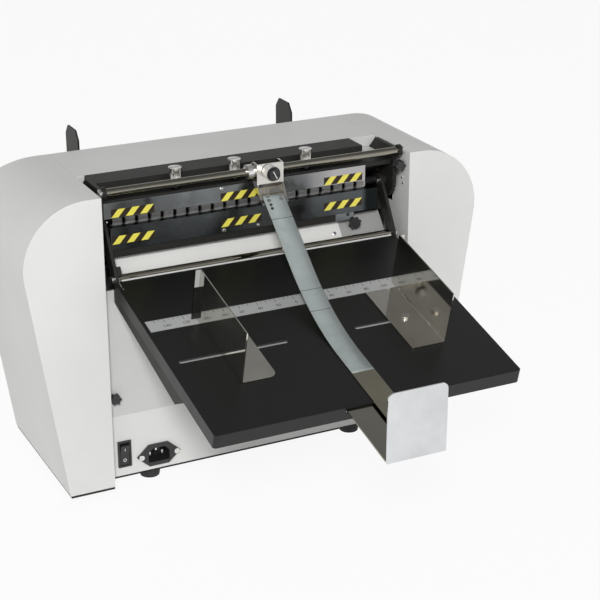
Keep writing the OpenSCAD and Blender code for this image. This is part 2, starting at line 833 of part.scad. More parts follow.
// Pull-out stop: a tongue under the tray and an upright plate at its end
module paper_stop() {
    half = stop_w / 2;
    place() color(steel) on_tray() translate([stop_x, 0, 0]) union() {
        box([-half, stop_t * tan(tray_angle) - stop_out, -tongue_h - stop_t], [half, stop_in, -tongue_h]);
        translate([0, -stop_out, -tongue_h - stop_t]) rotate([-tray_angle, 0, 0]) face_plate(0, stop_t) {
            translate([-half, 0]) square([stop_w, stop_h - stop_r]);
            translate([-half + stop_r, 0]) square([stop_w - 2 * stop_r, stop_h]);
            for (x = [-half + stop_r, half - stop_r]) translate([x, stop_h - stop_r]) circle(stop_r);
        }
    }
}

module clamp_sleeve() {
    x0 = clamp_x - clamp_half - sleeve_out;
    x1 = clamp_x + clamp_half + 2;
    place() color(steel) difference() {
        union() {
            bar_x(x0, x1, upper_rod_y, upper_rod_z, sleeve_r);
            bar_x(x0, x0 + sleeve_out - 2, upper_rod_y, upper_rod_z, sleeve_r + 1.7);
        }
        bar_x(x0 - 1, x1 + 1, upper_rod_y, upper_rod_z, rod_r + fit);
    }
}

// Place at a distance along the strip's slope and off it, from the rod's axis
function on_slope(along, off) = [-along * cos(strip_angle) - off * sin(strip_angle),
                                 -along * sin(strip_angle) + off * cos(strip_angle)];

module clamp_cheek() {
    difference() {
        union() {
            circle(sleeve_r + 3.5);
            polygon([[clamp_front, clamp_rise], [0, sleeve_r + 3.5], on_slope(0, -strip_drop - clamp_t),
                     on_slope(lip_l - 6, -strip_drop - clamp_t), on_slope(lip_l - 6, -strip_drop),
                     [clamp_front, -clamp_rise - 4]]);
        }
        circle(sleeve_r + fit);
    }
}

module clamp_bracket() {
    place() color(steel) translate([clamp_x, upper_rod_y, upper_rod_z]) difference() {
        union() {
            for (x = [-clamp_half, clamp_half - clamp_t]) side_plate(x, clamp_t) clamp_cheek();
            box([-clamp_half, clamp_front, -clamp_rise - 4], [clamp_half, clamp_front + clamp_t, clamp_rise]);
            side_plate(-clamp_half, clamp_w)
                polygon([on_slope(0, -strip_drop), on_slope(0, -strip_drop - clamp_t),
                         on_slope(lip_l, -strip_drop - clamp_t), on_slope(lip_l, -strip_drop)]);
        }
        translate([clamp_knob_x, clamp_front - 1, clamp_knob_z]) rotate([-90, 0, 0])
            cylinder(h = clamp_t + 1.2, r = knob_pin / 2 + fit);
        for (x = strip_screw_x, p = strip_screw_p) translate([x, 0, 0]) rotate([strip_angle, 0, 0])
            translate([0, -strip_start - p, -strip_drop - clamp_t - 1])
                cylinder(h = clamp_t + 2, r = strip_screw_r + fit);
    }
}

module clamp_knob() {
    cap = 4;
    place() color(black)
        translate([clamp_x + clamp_knob_x, upper_rod_y + clamp_front, upper_rod_z + clamp_knob_z])
        rotate([90, 0, 0]) difference() {
            union() {
                translate([0, 0, glide]) cylinder(h = clamp_grip, r = clamp_knob_r);
                translate([0, 0, glide + clamp_grip]) cylinder(h = cap, r = clamp_knob_r * 0.78);
                translate([0, 0, -clamp_t - 0.8]) cylinder(h = clamp_t + 1 + glide, r = knob_pin / 2);
            }
            translate([-clamp_knob_r, -0.6, glide + clamp_grip + cap - 1])
                cube([2 * clamp_knob_r, 1.2, 2]);
        }
}

// Lower face of the strip in the tray's own frame: flat on the tray, a bend, then straight up to the clamp
lift_strip = 0.4;
strip_turn = strip_angle - tray_angle;
strip_end = on_slope(strip_start, fit - strip_drop) + [upper_rod_y - lower_rod_y, upper_rod_z - lower_rod_z];
end_s = strip_end[0] * cos(tray_angle) + strip_end[1] * sin(tray_angle) + tray_reach;
end_h = -strip_end[0] * sin(tray_angle) + strip_end[1] * cos(tray_angle) - tray_rise;
bend_s = end_s - (end_h - lift_strip) / tan(strip_turn) - strip_r * tan(strip_turn / 2);
bend_steps = 14;

function strip_line(off) = concat(
    [[-strip_past, lift_strip + off]],
    [for (i = [0 : bend_steps]) let (a = strip_turn * i / bend_steps)
        [bend_s + (strip_r - off) * sin(a), lift_strip + strip_r - (strip_r - off) * cos(a)]],
    [[end_s - off * sin(strip_turn), end_h + off * cos(strip_turn)]]);

function reversed(list) = [for (i = [len(list) - 1 : -1 : 0]) list[i]];

module hold_down_strip() {
    place() color([0.62, 0.66, 0.66]) difference() {
        on_tray() side_plate(clamp_x - strip_w / 2, strip_w)
            polygon(concat(strip_line(0), reversed(strip_line(strip_t))));
        for (x = strip_screw_x, p = strip_screw_p)
            translate([clamp_x + x, upper_rod_y, upper_rod_z]) rotate([strip_angle, 0, 0])
                translate([0, -strip_start - p, -strip_drop - 1]) cylinder(h = 3, r = strip_screw_r + fit);
    }
}

module strip_screws() {
    place() color([0.25, 0.25, 0.25]) for (x = strip_screw_x, p = strip_screw_p)
        translate([clamp_x + x, upper_rod_y, upper_rod_z]) rotate([strip_angle, 0, 0])
            translate([0, -strip_start - p, -strip_drop]) {
                translate([0, 0, strip_t + fit]) cylinder(h = 1, r = 2);
                translate([0, 0, -clamp_t]) cylinder(h = clamp_t + strip_t + fit, r = strip_screw_r);
            }
}

// Slotted thumb screw standing on the channel floor
module thumb_screw(i) {
    place() color(steel) translate([thumb_x[i], thumb_y, channel_top]) difference() {
        union() {
            translate([0, 0, -channel_floor]) cylinder(h = channel_floor + glide, r = thumb_pin);
            translate([0, 0, glide]) cylinder(h = thumb_h - glide, d = thumb_neck);
            translate([0, 0, thumb_h - thumb_head]) cylinder(h = thumb_head, d = thumb_d);
        }
        translate([-thumb_d, -0.8, thumb_h - 2]) cube([2 * thumb_d, 1.6, 4]);
    }
}

module thumb_screw_1() { thumb_screw(0); }
module thumb_screw_2() { thumb_screw(1); }
module thumb_screw_3() { thumb_screw(2); }

// Lobed knob standing on Z = 0 with its thread below
module lobed_knob(thread, neck = knob_neck, grip = knob_l) {
    translate([0, 0, -thread]) cylinder(h = thread + glide + 1, d = knob_pin);
    translate([0, 0, glide]) cylinder(h = neck, r = knob_r * 0.5);
    translate([0, 0, glide + neck]) {
        cylinder(h = grip, r = knob_r * 0.75);
        for (i = [0 : 5]) rotate(i * 60) translate([knob_r * 0.7, 0, 0])
            cylinder(h = grip, r = knob_r * 0.3);
    }
}

module side_knob() {
    place() color(black) translate([cheek_in + cheek_t / 2, cheek_front, side_knob_z])
        rotate([90, 0, 0]) lobed_knob(9);
}

module ramp_knob() {
    place() color(black) on_ramp() translate([ramp_knob_x, ramp_knob_s, 0]) lobed_knob(panel_t);
}

module panel_knob() {
    place() color(black) translate([panel_knob_x, panel_back, panel_knob_z])
        rotate([90, 0, 0]) lobed_knob(panel_t, panel_knob_neck, panel_knob_l);
}

module rocker_bezel() {
    place() color(black) translate([rocker_x, panel_back, rocker_z]) difference() {
        union() {
            box([-bezel_w / 2, -2, -bezel_h / 2], [bezel_w / 2, 0, bezel_h / 2]);
            box([-bezel_w / 2 + 1 + fit, -1, -bezel_h / 2 + 1 + fit],
                [bezel_w / 2 - 1 - fit, bezel_deep, bezel_h / 2 - 1 - fit]);
        }
        box([-bezel_w / 2 + bezel_wall, -3, -bezel_h / 2 + bezel_wall],
            [bezel_w / 2 - bezel_wall, bezel_deep - 1.5, bezel_h / 2 - bezel_wall]);
        bar_x(-bezel_w / 2 + 1.2, bezel_w / 2 - 1.2, rocker_axis, 0, pin_r + fit);
    }
}

// Rocker with two faces that meet at its pivot's height, pressed at its lower end
module rocker() {
    half_h = bezel_h / 2 - bezel_wall - rocker_gap;
    half_w = bezel_w / 2 - bezel_wall - rocker_gap;
    rise = (half_h - 0.6) * sin(rocker_tilt);
    place() color(black) translate([rocker_x, panel_back + rocker_axis, rocker_z])
        rotate([rocker_tilt, 0, 0]) union() {
        side_plate(-half_w, 2 * half_w)
            polygon([[-5.4 - rise, half_h - 0.6], [-5.4, 0], [-5.4 - rise, -half_h + 0.6],
                     [-1, -half_h + 0.6], [3, -4], [3, 4], [-1, half_h - 0.6]]);
        bar_x(-half_w - 0.9, half_w + 0.9, 0, 0, pin_r);
    }
}

module inlet() {
    place() color(black) translate([inlet_x, panel_back, inlet_z]) difference() {
        union() {
            face_plate(-inlet_flange_t, inlet_flange_t) inlet_flange();
            face_plate(-1, inlet_deep + 1) inlet_mouth(inlet_wall);
        }
        face_plate(-inlet_flange_t - 1, inlet_deep + inlet_flange_t - 1) inlet_mouth(0);
    }
}

module inlet_pins() {
    depth = 9;
    place() color(steel) translate([inlet_x, panel_back + inlet_deep - 2, inlet_z])
        for (p = [[-7, -2.5], [0, 2.5], [7, -2.5]])
            box([p[0] - 1, -depth, p[1] - 2], [p[0] + 1, 0, p[1] + 2]);
}

// Feed table with slots for its two guides
module infeed_table() {
    half = table_w / 2;
    y0 = blade_y + roller_r + 4;
    y1 = body_d + 1.5;
    low = table_z - panel_t;
    place() color(black) difference() {
        union() {
            box([-half, y0, low], [half, table_rear, table_z]);
            box([-half, table_rear - panel_t, table_z - table_lip], [half, table_rear, table_z]);
            for (x = [-half, half - panel_t])
                box([x, y1, table_z - table_lip], [x + panel_t, table_rear, table_z]);
        }
        for (side = [0, 1]) mirror([side, 0, 0]) translate([0, feed_slot_y, low - 1])
            linear_extrude(panel_t + 2) slot(feed_slot_in, feed_slot_out, slot_w);
    }
}

// Feed guide with its wall on the outer side
module feed_guide() {
    wall = 2;
    foot = 22;
    y0 = body_d + 6;
    y1 = table_rear - 4;
    z0 = table_z + glide;
    translate([feed_guide_x, 0, 0]) union() {
        side_plate(-wall, wall)
            polygon([[y0, z0], [y0, z0 + feed_guide_h - 10], [y0 + 8, z0 + feed_guide_h],
                     [y1 - 8, z0 + feed_guide_h], [y1, z0 + feed_guide_h - 10], [y1, z0]]);
        box([-foot, y0, z0], [0, y1, z0 + guide_t]);
        translate([-foot / 2, feed_slot_y, table_z]) {
            translate([0, 0, -panel_t - glide - 3]) cylinder(h = 3, r = head_r + 0.5, $fn = 6);
            translate([0, 0, -panel_t - glide - 1])
                cylinder(h = panel_t + 2 * glide + guide_t + 1, d = guide_stud);
            translate([0, 0, glide + guide_t]) cylinder(h = head_h, r = head_r);
        }
    }
}

module right_feed_guide() { place() color(black) feed_guide(); }
module left_feed_guide() { place() color(black) left() feed_guide(); }

module bushes() {
    place() color([0.7, 0.55, 0.3])
        for (x = [-cheek_out, cheek_in], y = [exit_y, blade_y], z = [lower_axis, upper_axis]) difference() {
            bar_x(x, x + cheek_t, y, z, shaft_r + bush_wall + fit);
            bar_x(x - 1, x + cheek_t + 1, y, z, shaft_r + fit);
        }
}

// Shaft with evenly spread rubber rings
module roller(y, z) {
    step = 2 * (ring_span - ring_w / 2) / (ring_count - 1);
    place() color(rubber) union() {
        bar_x(-cheek_out - 0.6, gear_x + gear_w, y, z, shaft_r);
        for (i = [0 : ring_count - 1])
            bar_x(-ring_span + i * step, -ring_span + i * step + ring_w, y, z, roller_r - 0.15);
    }
}

module exit_upper_roller() { roller(exit_y, upper_axis); }
module exit_lower_roller() { roller(exit_y, lower_axis); }

module blade_shaft() {
    place() color(steel) bar_x(-cheek_out + 0.5, gear_x + gear_w, blade_y, upper_axis, shaft_r);
}

module creasing_blades() {
    hub = 10;
    place() color(steel) for (x = thumb_x) difference() {
        union() {
            bar_x(x - blade_t / 2, x + blade_t / 2, blade_y, upper_axis, roller_r + blade_over);
            bar_x(x - hub / 2, x + hub / 2, blade_y, upper_axis, shaft_r + 2);
        }
        bar_x(x - hub, x + hub, blade_y, upper_axis, shaft_r + fit);
    }
}

module anvil_shaft() {
    groove = blade_t + 1.4;
    drum = 24;
    place() color(steel) union() {
        bar_x(pulley_x - pulley_w - 2, gear_x + gear_w, blade_y, lower_axis, shaft_r);
        for (x = thumb_x) difference() {
            bar_x(x - drum / 2, x + drum / 2, blade_y, lower_axis, roller_r - 0.2);
            difference() {
                bar_x(x - groove / 2, x + groove / 2, blade_y, lower_axis, roller_r + 1);
                bar_x(x - groove, x + groove, blade_y, lower_axis, roller_r - blade_over - 0.7);
            }
        }
    }
}

// Spur gear drawn in depth and height, with a tooth at angle 0 when phase is 0
module gear(teeth, phase, y, z, bore) {
    pitch = 360 / teeth;
    pr = gear_m * teeth / 2;
    tip = pr + 0.9 * gear_m;
    root = pr - 1.2 * gear_m;
    half = pitch / 4 * 0.93;
    slant = tan(20) * gear_m / pr * 180 / PI;
    place() color([0.8, 0.8, 0.75]) side_plate(gear_x, gear_w) translate([y, z]) difference() {
        polygon([for (i = [0 : teeth - 1]) let (a = (i + phase) * pitch)
            each [root * [cos(a - half - 1.1 * slant), sin(a - half - 1.1 * slant)],
                  tip * [cos(a - half + 0.9 * slant), sin(a - half + 0.9 * slant)],
                  tip * [cos(a + half - 0.9 * slant), sin(a + half - 0.9 * slant)],
                  root * [cos(a + half + 1.1 * slant), sin(a + half + 1.1 * slant)]]]);
        circle(bore);
    }
}

module exit_upper_gear() { gear(gear_teeth, 0.5, exit_y, upper_axis, shaft_r + fit); }
module exit_lower_gear() { gear(gear_teeth, 0, exit_y, lower_axis, shaft_r + fit); }
module blade_gear() { gear(gear_teeth, 0, blade_y, upper_axis, shaft_r + fit); }
module anvil_gear() { gear(gear_teeth, 0.5, blade_y, lower_axis, shaft_r + fit); }
module idler_gear() { gear(idler_teeth, 0, idler_y, lower_axis, stud_d / 2 + fit); }

module drive_motor() {
    x0 = -cheek_in;
    place() color([0.3, 0.3, 0.32]) difference() {
        union() {
            bar_x(x0, x0 + motor_l, blade_y, motor_z, motor_d / 2);
            box([x0, blade_y - motor_d / 2 - 4, motor_z - motor_d / 2 - 4],
                [x0 + 5, blade_y + motor_d / 2 + 4, motor_z + motor_d / 2 + 4]);
        }
        bar_x(x0 - 1, x0 + motor_bore, blade_y, motor_z, shaft_r + fit);
    }
}

// Flanged belt pulley with its belt groove between two rims
module pulley(z, bore) {
    rim = 1;
    difference() {
        union() {
            bar_x(pulley_x - pulley_w - rim, pulley_x + rim, blade_y, z, pulley_r);
            for (x = [pulley_x - pulley_w - rim, pulley_x])
                bar_x(x, x + rim, blade_y, z, pulley_r + belt_t + 0.6);
        }
        bar_x(pulley_x - pulley_w - rim - 1, pulley_x + rim + 1, blade_y, z, bore);
    }
}

module motor_pulley() {
    place() color(steel) union() {
        pulley(motor_z, shaft_r - 1);
        bar_x(pulley_x - pulley_w - 1, -cheek_in + motor_bore - 0.5, blade_y, motor_z, shaft_r);
    }
}

module driven_pulley() { place() color(steel) pulley(lower_axis, shaft_r + fit); }

module belt_outline(r) {
    translate([blade_y - r, motor_z]) square([2 * r, lower_axis - motor_z]);
    for (z = [motor_z, lower_axis]) translate([blade_y, z]) circle(r);
}

module drive_belt() {
    place() color(rubber) side_plate(pulley_x - pulley_w / 2 - belt_w / 2, belt_w) difference() {
        belt_outline(pulley_r + glide + belt_t);
        belt_outline(pulley_r + glide);
    }
}

base_plate();
rubber_feet();
front_panel();
left_cover();
right_cover();
top_cover();
rear_panel();
left_cheek();
right_cheek();
tie_rods();
lower_beam();
top_channel();
upper_guard();
lower_guard();
ramp_plate();
upper_rod();
lower_rod();
left_arm();
right_arm();
frame_screws();
tray();
ruler();
left_guide();
left_guide_screw();
right_guide();
right_guide_screw();
paper_stop();
clamp_sleeve();
clamp_bracket();
clamp_knob();
hold_down_strip();
strip_screws();
thumb_screw_1();
thumb_screw_2();
thumb_screw_3();
side_knob();
ramp_knob();
panel_knob();
rocker_bezel();
rocker();
inlet();
inlet_pins();
infeed_table();
left_feed_guide();
right_feed_guide();
bushes();
exit_upper_roller();
exit_lower_roller();
blade_shaft();
creasing_blades();
anvil_shaft();
exit_upper_gear();
exit_lower_gear();
blade_gear();
anvil_gear();
idler_gear();
drive_motor();
motor_pulley();
driven_pulley();
drive_belt();
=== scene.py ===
"""Looks of a desktop paper folding machine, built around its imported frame. Metres, Z up."""

import json
import math

import bmesh
import bpy
from mathutils import Matrix, Vector


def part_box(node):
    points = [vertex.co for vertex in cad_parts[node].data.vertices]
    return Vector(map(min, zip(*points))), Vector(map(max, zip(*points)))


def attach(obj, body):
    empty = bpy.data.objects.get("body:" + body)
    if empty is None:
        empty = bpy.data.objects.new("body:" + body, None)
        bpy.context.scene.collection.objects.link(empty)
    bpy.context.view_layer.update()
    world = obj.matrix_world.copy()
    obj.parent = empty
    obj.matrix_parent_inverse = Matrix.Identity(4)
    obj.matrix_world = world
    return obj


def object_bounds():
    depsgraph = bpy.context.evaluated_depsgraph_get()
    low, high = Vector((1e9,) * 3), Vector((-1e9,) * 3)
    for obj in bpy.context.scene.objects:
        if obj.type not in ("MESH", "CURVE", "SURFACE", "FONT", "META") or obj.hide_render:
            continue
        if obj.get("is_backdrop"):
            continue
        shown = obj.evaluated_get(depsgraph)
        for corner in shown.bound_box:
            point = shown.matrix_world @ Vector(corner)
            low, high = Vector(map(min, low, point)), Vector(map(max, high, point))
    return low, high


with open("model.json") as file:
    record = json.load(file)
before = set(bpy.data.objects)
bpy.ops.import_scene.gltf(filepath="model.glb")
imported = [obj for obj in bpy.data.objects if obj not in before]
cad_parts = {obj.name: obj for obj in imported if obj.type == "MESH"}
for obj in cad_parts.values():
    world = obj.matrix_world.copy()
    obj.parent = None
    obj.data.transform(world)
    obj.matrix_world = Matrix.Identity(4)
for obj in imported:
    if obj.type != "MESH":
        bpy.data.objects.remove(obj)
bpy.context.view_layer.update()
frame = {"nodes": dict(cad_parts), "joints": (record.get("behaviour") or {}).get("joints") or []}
nodes = frame["nodes"]
joints = {j["name"]: j for j in frame["joints"]}
MM = 0.001


# Places taken from the frame

AXIS_X, AXIS_Y, AXIS_Z = Vector((1, 0, 0)), Vector((0, 1, 0)), Vector((0, 0, 1))
FRONT, REAR = -AXIS_Y, AXIS_Y
slope = Vector(joints["stop_slide"]["axis"]) * -1
tray_up = Vector((0, -slope.z, slope.y))
TRAY_LIP = 14.5 * MM
tray_low, tray_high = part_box("tray")
tray_front = Vector((0, tray_low.y, tray_low.z + TRAY_LIP * slope.y))
rod_axis = Vector(joints["strip_swing"]["pos_m"])
cover_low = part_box("right_cover")[0]
base_top = cover_low.z


def on_tray(x, s, h):
    """Point across the tray, up its slope from the front edge, and off its surface."""
    return AXIS_X * x + tray_front + slope * s + tray_up * h


# Sizes of the part's guides, which the pieces on them follow

GUIDE_S, GUIDE_LEN, GUIDE_WALL, GUIDE_H = 63 * MM, 100 * MM, 111 * MM, 58 * MM
GUIDE_T, GUIDE_FOLD, GUIDE_TOP = 1.2 * MM, 5 * MM, 1.5 * MM


# Shader helpers

def new_material(name):
    """An empty node material and its Principled shader."""
    mat = bpy.data.materials.new(name)
    mat.use_nodes = True
    tree = mat.node_tree
    tree.nodes.clear()
    out = tree.nodes.new("ShaderNodeOutputMaterial")
    shader = tree.nodes.new("ShaderNodeBsdfPrincipled")
    tree.links.new(shader.outputs["BSDF"], out.inputs["Surface"])
    return mat, tree, shader


def coords(tree, stretch=(1, 1, 1)):
    """Object coordinates in metres, scaled along each axis."""
    place = tree.nodes.new("ShaderNodeTexCoord")
    scale = tree.nodes.new("ShaderNodeMapping")
    scale.inputs["Scale"].default_value = stretch
    tree.links.new(place.outputs["Object"], scale.inputs["Vector"])
    return scale.outputs["Vector"]


def measure(tree, operation, vector, constant):
    """A number from a vector and a constant one, by DOT_PRODUCT or DISTANCE."""
    node = tree.nodes.new("ShaderNodeVectorMath")
    node.operation = operation
    node.inputs[1].default_value = constant
    tree.links.new(vector, node.inputs[0])
    return node.outputs["Value"]


def noise(tree, vector, scale, detail=3.0, rough=0.55):
    """Noise factor at a scale in features per metre."""
    node = tree.nodes.new("ShaderNodeTexNoise")
    node.inputs["Scale"].default_value = scale
    node.inputs["Detail"].default_value = detail
    node.inputs["Roughness"].default_value = rough
    tree.links.new(vector, node.inputs["Vector"])
    return node.outputs["Fac"]


def ramp(tree, factor, stops):
    """Colours along a factor. Stops are (place, colour)."""
    node = tree.nodes.new("ShaderNodeValToRGB")
    node.color_ramp.elements[0].position = stops[0][0]
    node.color_ramp.elements[0].color = (*stops[0][1], 1)
    node.color_ramp.elements[1].position = stops[-1][0]
    node.color_ramp.elements[1].color = (*stops[-1][1], 1)
    for place, colour in stops[1:-1]:
        node.color_ramp.elements.new(place).color = (*colour, 1)
    tree.links.new(factor, node.inputs["Fac"])
    return node.outputs["Color"]


def remap(tree, factor, low, high, start=0.3, end=0.7):
    """A factor spread over a new range."""
    node = tree.nodes.new("ShaderNodeMapRange")
    node.inputs["From Min"].default_value = start
    node.inputs["From Max"].default_value = end
    node.inputs["To Min"].default_value = low
    node.inputs["To Max"].default_value = high
    tree.links.new(factor, node.inputs["Value"])
    return node.outputs["Result"]


def mix_shaders(tree, factor, first, second):
    """The first shader where a factor is 0, the second where it is 1."""
    node = tree.nodes.new("ShaderNodeMixShader")
    if isinstance(factor, float):
        node.inputs["Fac"].default_value = factor
    else:
        tree.links.new(factor, node.inputs["Fac"])
    tree.links.new(first, node.inputs[1])
    tree.links.new(second, node.inputs[2])
    return node.outputs["Shader"]


def colour_by(tree, shader, factor, stops):
    """Base colour along a factor."""
    tree.links.new(ramp(tree, factor, stops), shader.inputs["Base Color"])


def rough_by(tree, shader, factor, low, high):
    """Roughness along a factor."""
    tree.links.new(remap(tree, factor, low, high), shader.inputs["Roughness"])


def bump(tree, shader, height, distance, strength):
    """Fine relief from a height factor."""
    node = tree.nodes.new("ShaderNodeBump")
    node.inputs["Distance"].default_value = distance
    node.inputs["Strength"].default_value = strength
    tree.links.new(height, node.inputs["Height"])
    tree.links.new(node.outputs["Normal"], shader.inputs["Normal"])


def tones(colour, darker, lighter, start=0.3, end=0.7):
    """Ramp stops from a darker to a lighter tone of a colour."""
    return [(place, tuple(min(1.0, c * by) for c in colour))
            for place, by in ((start, darker), (end, lighter))]


def grey(value):
    """A neutral colour."""
    return value, value, value


# Materials. Noise scales are in features per metre.

PAINT_CLOUDS, PAINT_SPECKS, TONE_CLOUDS = 7, 60, 9
METAL_LINES, METAL_SMUDGES = 600, 28
POLISH_SMUDGES, POLISH_SPECKS, POLISH_WAVES = 22, 45, 30
PLASTIC_CLOUDS, PLASTIC_SPECKS = 35, 120
TRAY_DUST, TRAY_RUBS, TRAY_GRAIN = 420, 16, 1100
RING_DIRT, RING_SPECKS, RING_GRAIN = 90, 200, 1400
FILM_FIBRE, FILM_SCUFFS, FILM_GRAIN = 90, 150, 1500
FLOOR_CLOUDS = 3
SHAFT_R, RING_R = 4 * MM, 7 * MM


def paint(name, colour, rough, grain=900, relief=0.12 * MM, mottle=0.04, gloss=0.5):
    """Sprayed paint: fine orange-peel relief and slight mottling."""
    mat, tree, shader = new_material(name)
    shader.inputs["Specular IOR Level"].default_value = gloss
    at = coords(tree)
    colour_by(tree, shader, noise(tree, at, PAINT_CLOUDS), tones(colour, 1 - mottle, 1 + mottle))
    rough_by(tree, shader, noise(tree, at, PAINT_SPECKS), rough - 0.015, rough + 0.02)
    bump(tree, shader, noise(tree, at, grain, detail=2), relief, strength=0.35)
    return mat


def two_tone(mat, beyond, along, limit, blend=0.4 * MM, mottle=0.04):
    """Gives a material another colour where its place along a direction is past a limit."""
    tree = mat.node_tree
    shader = tree.nodes["Principled BSDF"]
    at = coords(tree)
    reach = measure(tree, "DOT_PRODUCT", at, along)
    mix = tree.nodes.new("ShaderNodeMix")
    mix.data_type = "RGBA"
    tree.links.new(remap(tree, reach, 0, 1, limit - blend / 2, limit + blend / 2), mix.inputs["Factor"])
    tree.links.new(shader.inputs["Base Color"].links[0].from_socket, mix.inputs["A"])
    stops = tones(beyond, 1 - mottle, 1 + mottle)
    tree.links.new(ramp(tree, noise(tree, at, TONE_CLOUDS), stops), mix.inputs["B"])
    tree.links.new(mix.outputs["Result"], shader.inputs["Base Color"])
    return mat


def metal(name, colour, rough, grain=METAL_LINES, relief=0.02 * MM, vary=0.08):
    """Satin metal with a fine ground surface and smudges."""
    mat, tree, shader = new_material(name)
    shader.inputs["Metallic"].default_value = 1.0
    at = coords(tree)
    ground = noise(tree, at, grain, detail=4, rough=0.7)
    colour_by(tree, shader, ground, tones(colour, 1 - vary, 1 + vary, 0.25, 0.75))
    rough_by(tree, shader, noise(tree, at, METAL_SMUDGES), rough * 0.75, rough * 1.4)
    bump(tree, shader, ground, relief, strength=0.25)
    return mat


def polished(name, colour, rough, wave=0.06 * MM):
    """Mirror-like sheet or rod with smudges and a faint waviness."""
    mat, tree, shader = new_material(name)
    shader.inputs["Metallic"].default_value = 1.0
    at = coords(tree)
    smudges = noise(tree, at, POLISH_SMUDGES, detail=4, rough=0.6)
    colour_by(tree, shader, smudges, tones(colour, 0.9, 1.08))
    rough_by(tree, shader, noise(tree, at, POLISH_SPECKS), rough * 0.6, rough * 1.7)
    bump(tree, shader, noise(tree, at, POLISH_WAVES, detail=1), wave, strength=0.2)
    return mat


def plastic(name, colour, rough, grain=1500, relief=0.08 * MM):
    """Moulded plastic with a spark-eroded grain."""
    mat, tree, shader = new_material(name)
    at = coords(tree)
    colour_by(tree, shader, noise(tree, at, PLASTIC_CLOUDS), tones(colour, 0.86, 1.14))
    rough_by(tree, shader, noise(tree, at, PLASTIC_SPECKS), rough - 0.06, rough + 0.08)
    bump(tree, shader, noise(tree, at, grain, detail=2), relief, strength=0.4)
    return mat


def tray_paint():
    """Glossier black paint with dust and faint rub marks."""
    mat, tree, shader = new_material("tray_black")
    at = coords(tree)
    stops = [(0.35, (0.0065, 0.0072, 0.0068)), (0.62, (0.008, 0.0086, 0.0082)),
             (0.80, (0.012, 0.0125, 0.012))]
    colour_by(tree, shader, noise(tree, at, TRAY_DUST, detail=5, rough=0.75), stops)
    rough_by(tree, shader, noise(tree, at, TRAY_RUBS, detail=4, rough=0.6), 0.34, 0.44)
    shader.inputs["Specular IOR Level"].default_value = 0.4
    bump(tree, shader, noise(tree, at, TRAY_GRAIN, detail=2), 0.04 * MM, strength=0.2)
    return mat


def roller_rings(name, joint):
    """White rubber rings on a dark shaft, told apart by their distance from the axis. The near-black shaft
    and the ring sides darkening towards it also stand for painted shade between the rings.
    """
    mat, tree, shader = new_material(name)
    away = measure(tree, "DISTANCE", coords(tree, (0, 1, 1)), (0, *joints[joint]["pos_m"][1:]))
    at = coords(tree)
    dirt = noise(tree, at, RING_DIRT, detail=4, rough=0.7)
    colour_by(tree, shader, dirt, [(0.3, (0.74, 0.74, 0.72)), (0.7, (0.94, 0.94, 0.92))])
    rough_by(tree, shader, noise(tree, at, RING_SPECKS), 0.5, 0.75)
    bump(tree, shader, noise(tree, at, RING_GRAIN, detail=2), 0.1 * MM, strength=0.4)
    core = tree.nodes.new("ShaderNodeBsdfPrincipled")
    core.inputs["Roughness"].default_value = 0.5
    core.inputs["Specular IOR Level"].default_value = 0.2
    colour_by(tree, core, dirt, [(0.3, grey(0.010)), (0.7, (0.018, 0.018, 0.017))])
    both = mix_shaders(tree, remap(tree, away, 0, 1, SHAFT_R, RING_R), core.outputs["BSDF"],
                       shader.outputs["BSDF"])
    tree.links.new(both, tree.nodes["Material Output"].inputs["Surface"])
    return mat


def label_film():
    """Pale film with a faint fibre and scuffs."""
    mat, tree, shader = new_material("label_film")
    at = coords(tree)
    stops = [(0.3, (0.29, 0.33, 0.328)), (0.7, (0.34, 0.38, 0.378))]
    colour_by(tree, shader, noise(tree, at, FILM_FIBRE, detail=4), stops)
    rough_by(tree, shader, noise(tree, at, FILM_SCUFFS), 0.32, 0.5)
    bump(tree, shader, noise(tree, at, FILM_GRAIN, detail=2), 0.04 * MM, strength=0.3)
    return mat


# Where two-toned colours change; some of them are painted shade or painted reflections, as noted where each
# is used
PANEL_SHADE_Z = 86.8 * MM
RAMP_SEAM_X = 104.5 * MM
STOP_BACK_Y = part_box("paper_stop")[0].y + 3 * MM
GUARD_SHEEN_X, GUARD_SHADOW_X = 75 * MM, 131 * MM
GUARD_SHEEN_BLEND, GUARD_SHADOW_BLEND, THUMB_BLEND = 40 * MM, 6 * MM, 1 * MM
THUMB_FOOT_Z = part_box("thumb_screw_1")[0].z + 11 * MM
GUIDE_BACK = tray_front.dot(slope) + GUIDE_S + GUIDE_WALL - GUIDE_T - 0.3 * MM

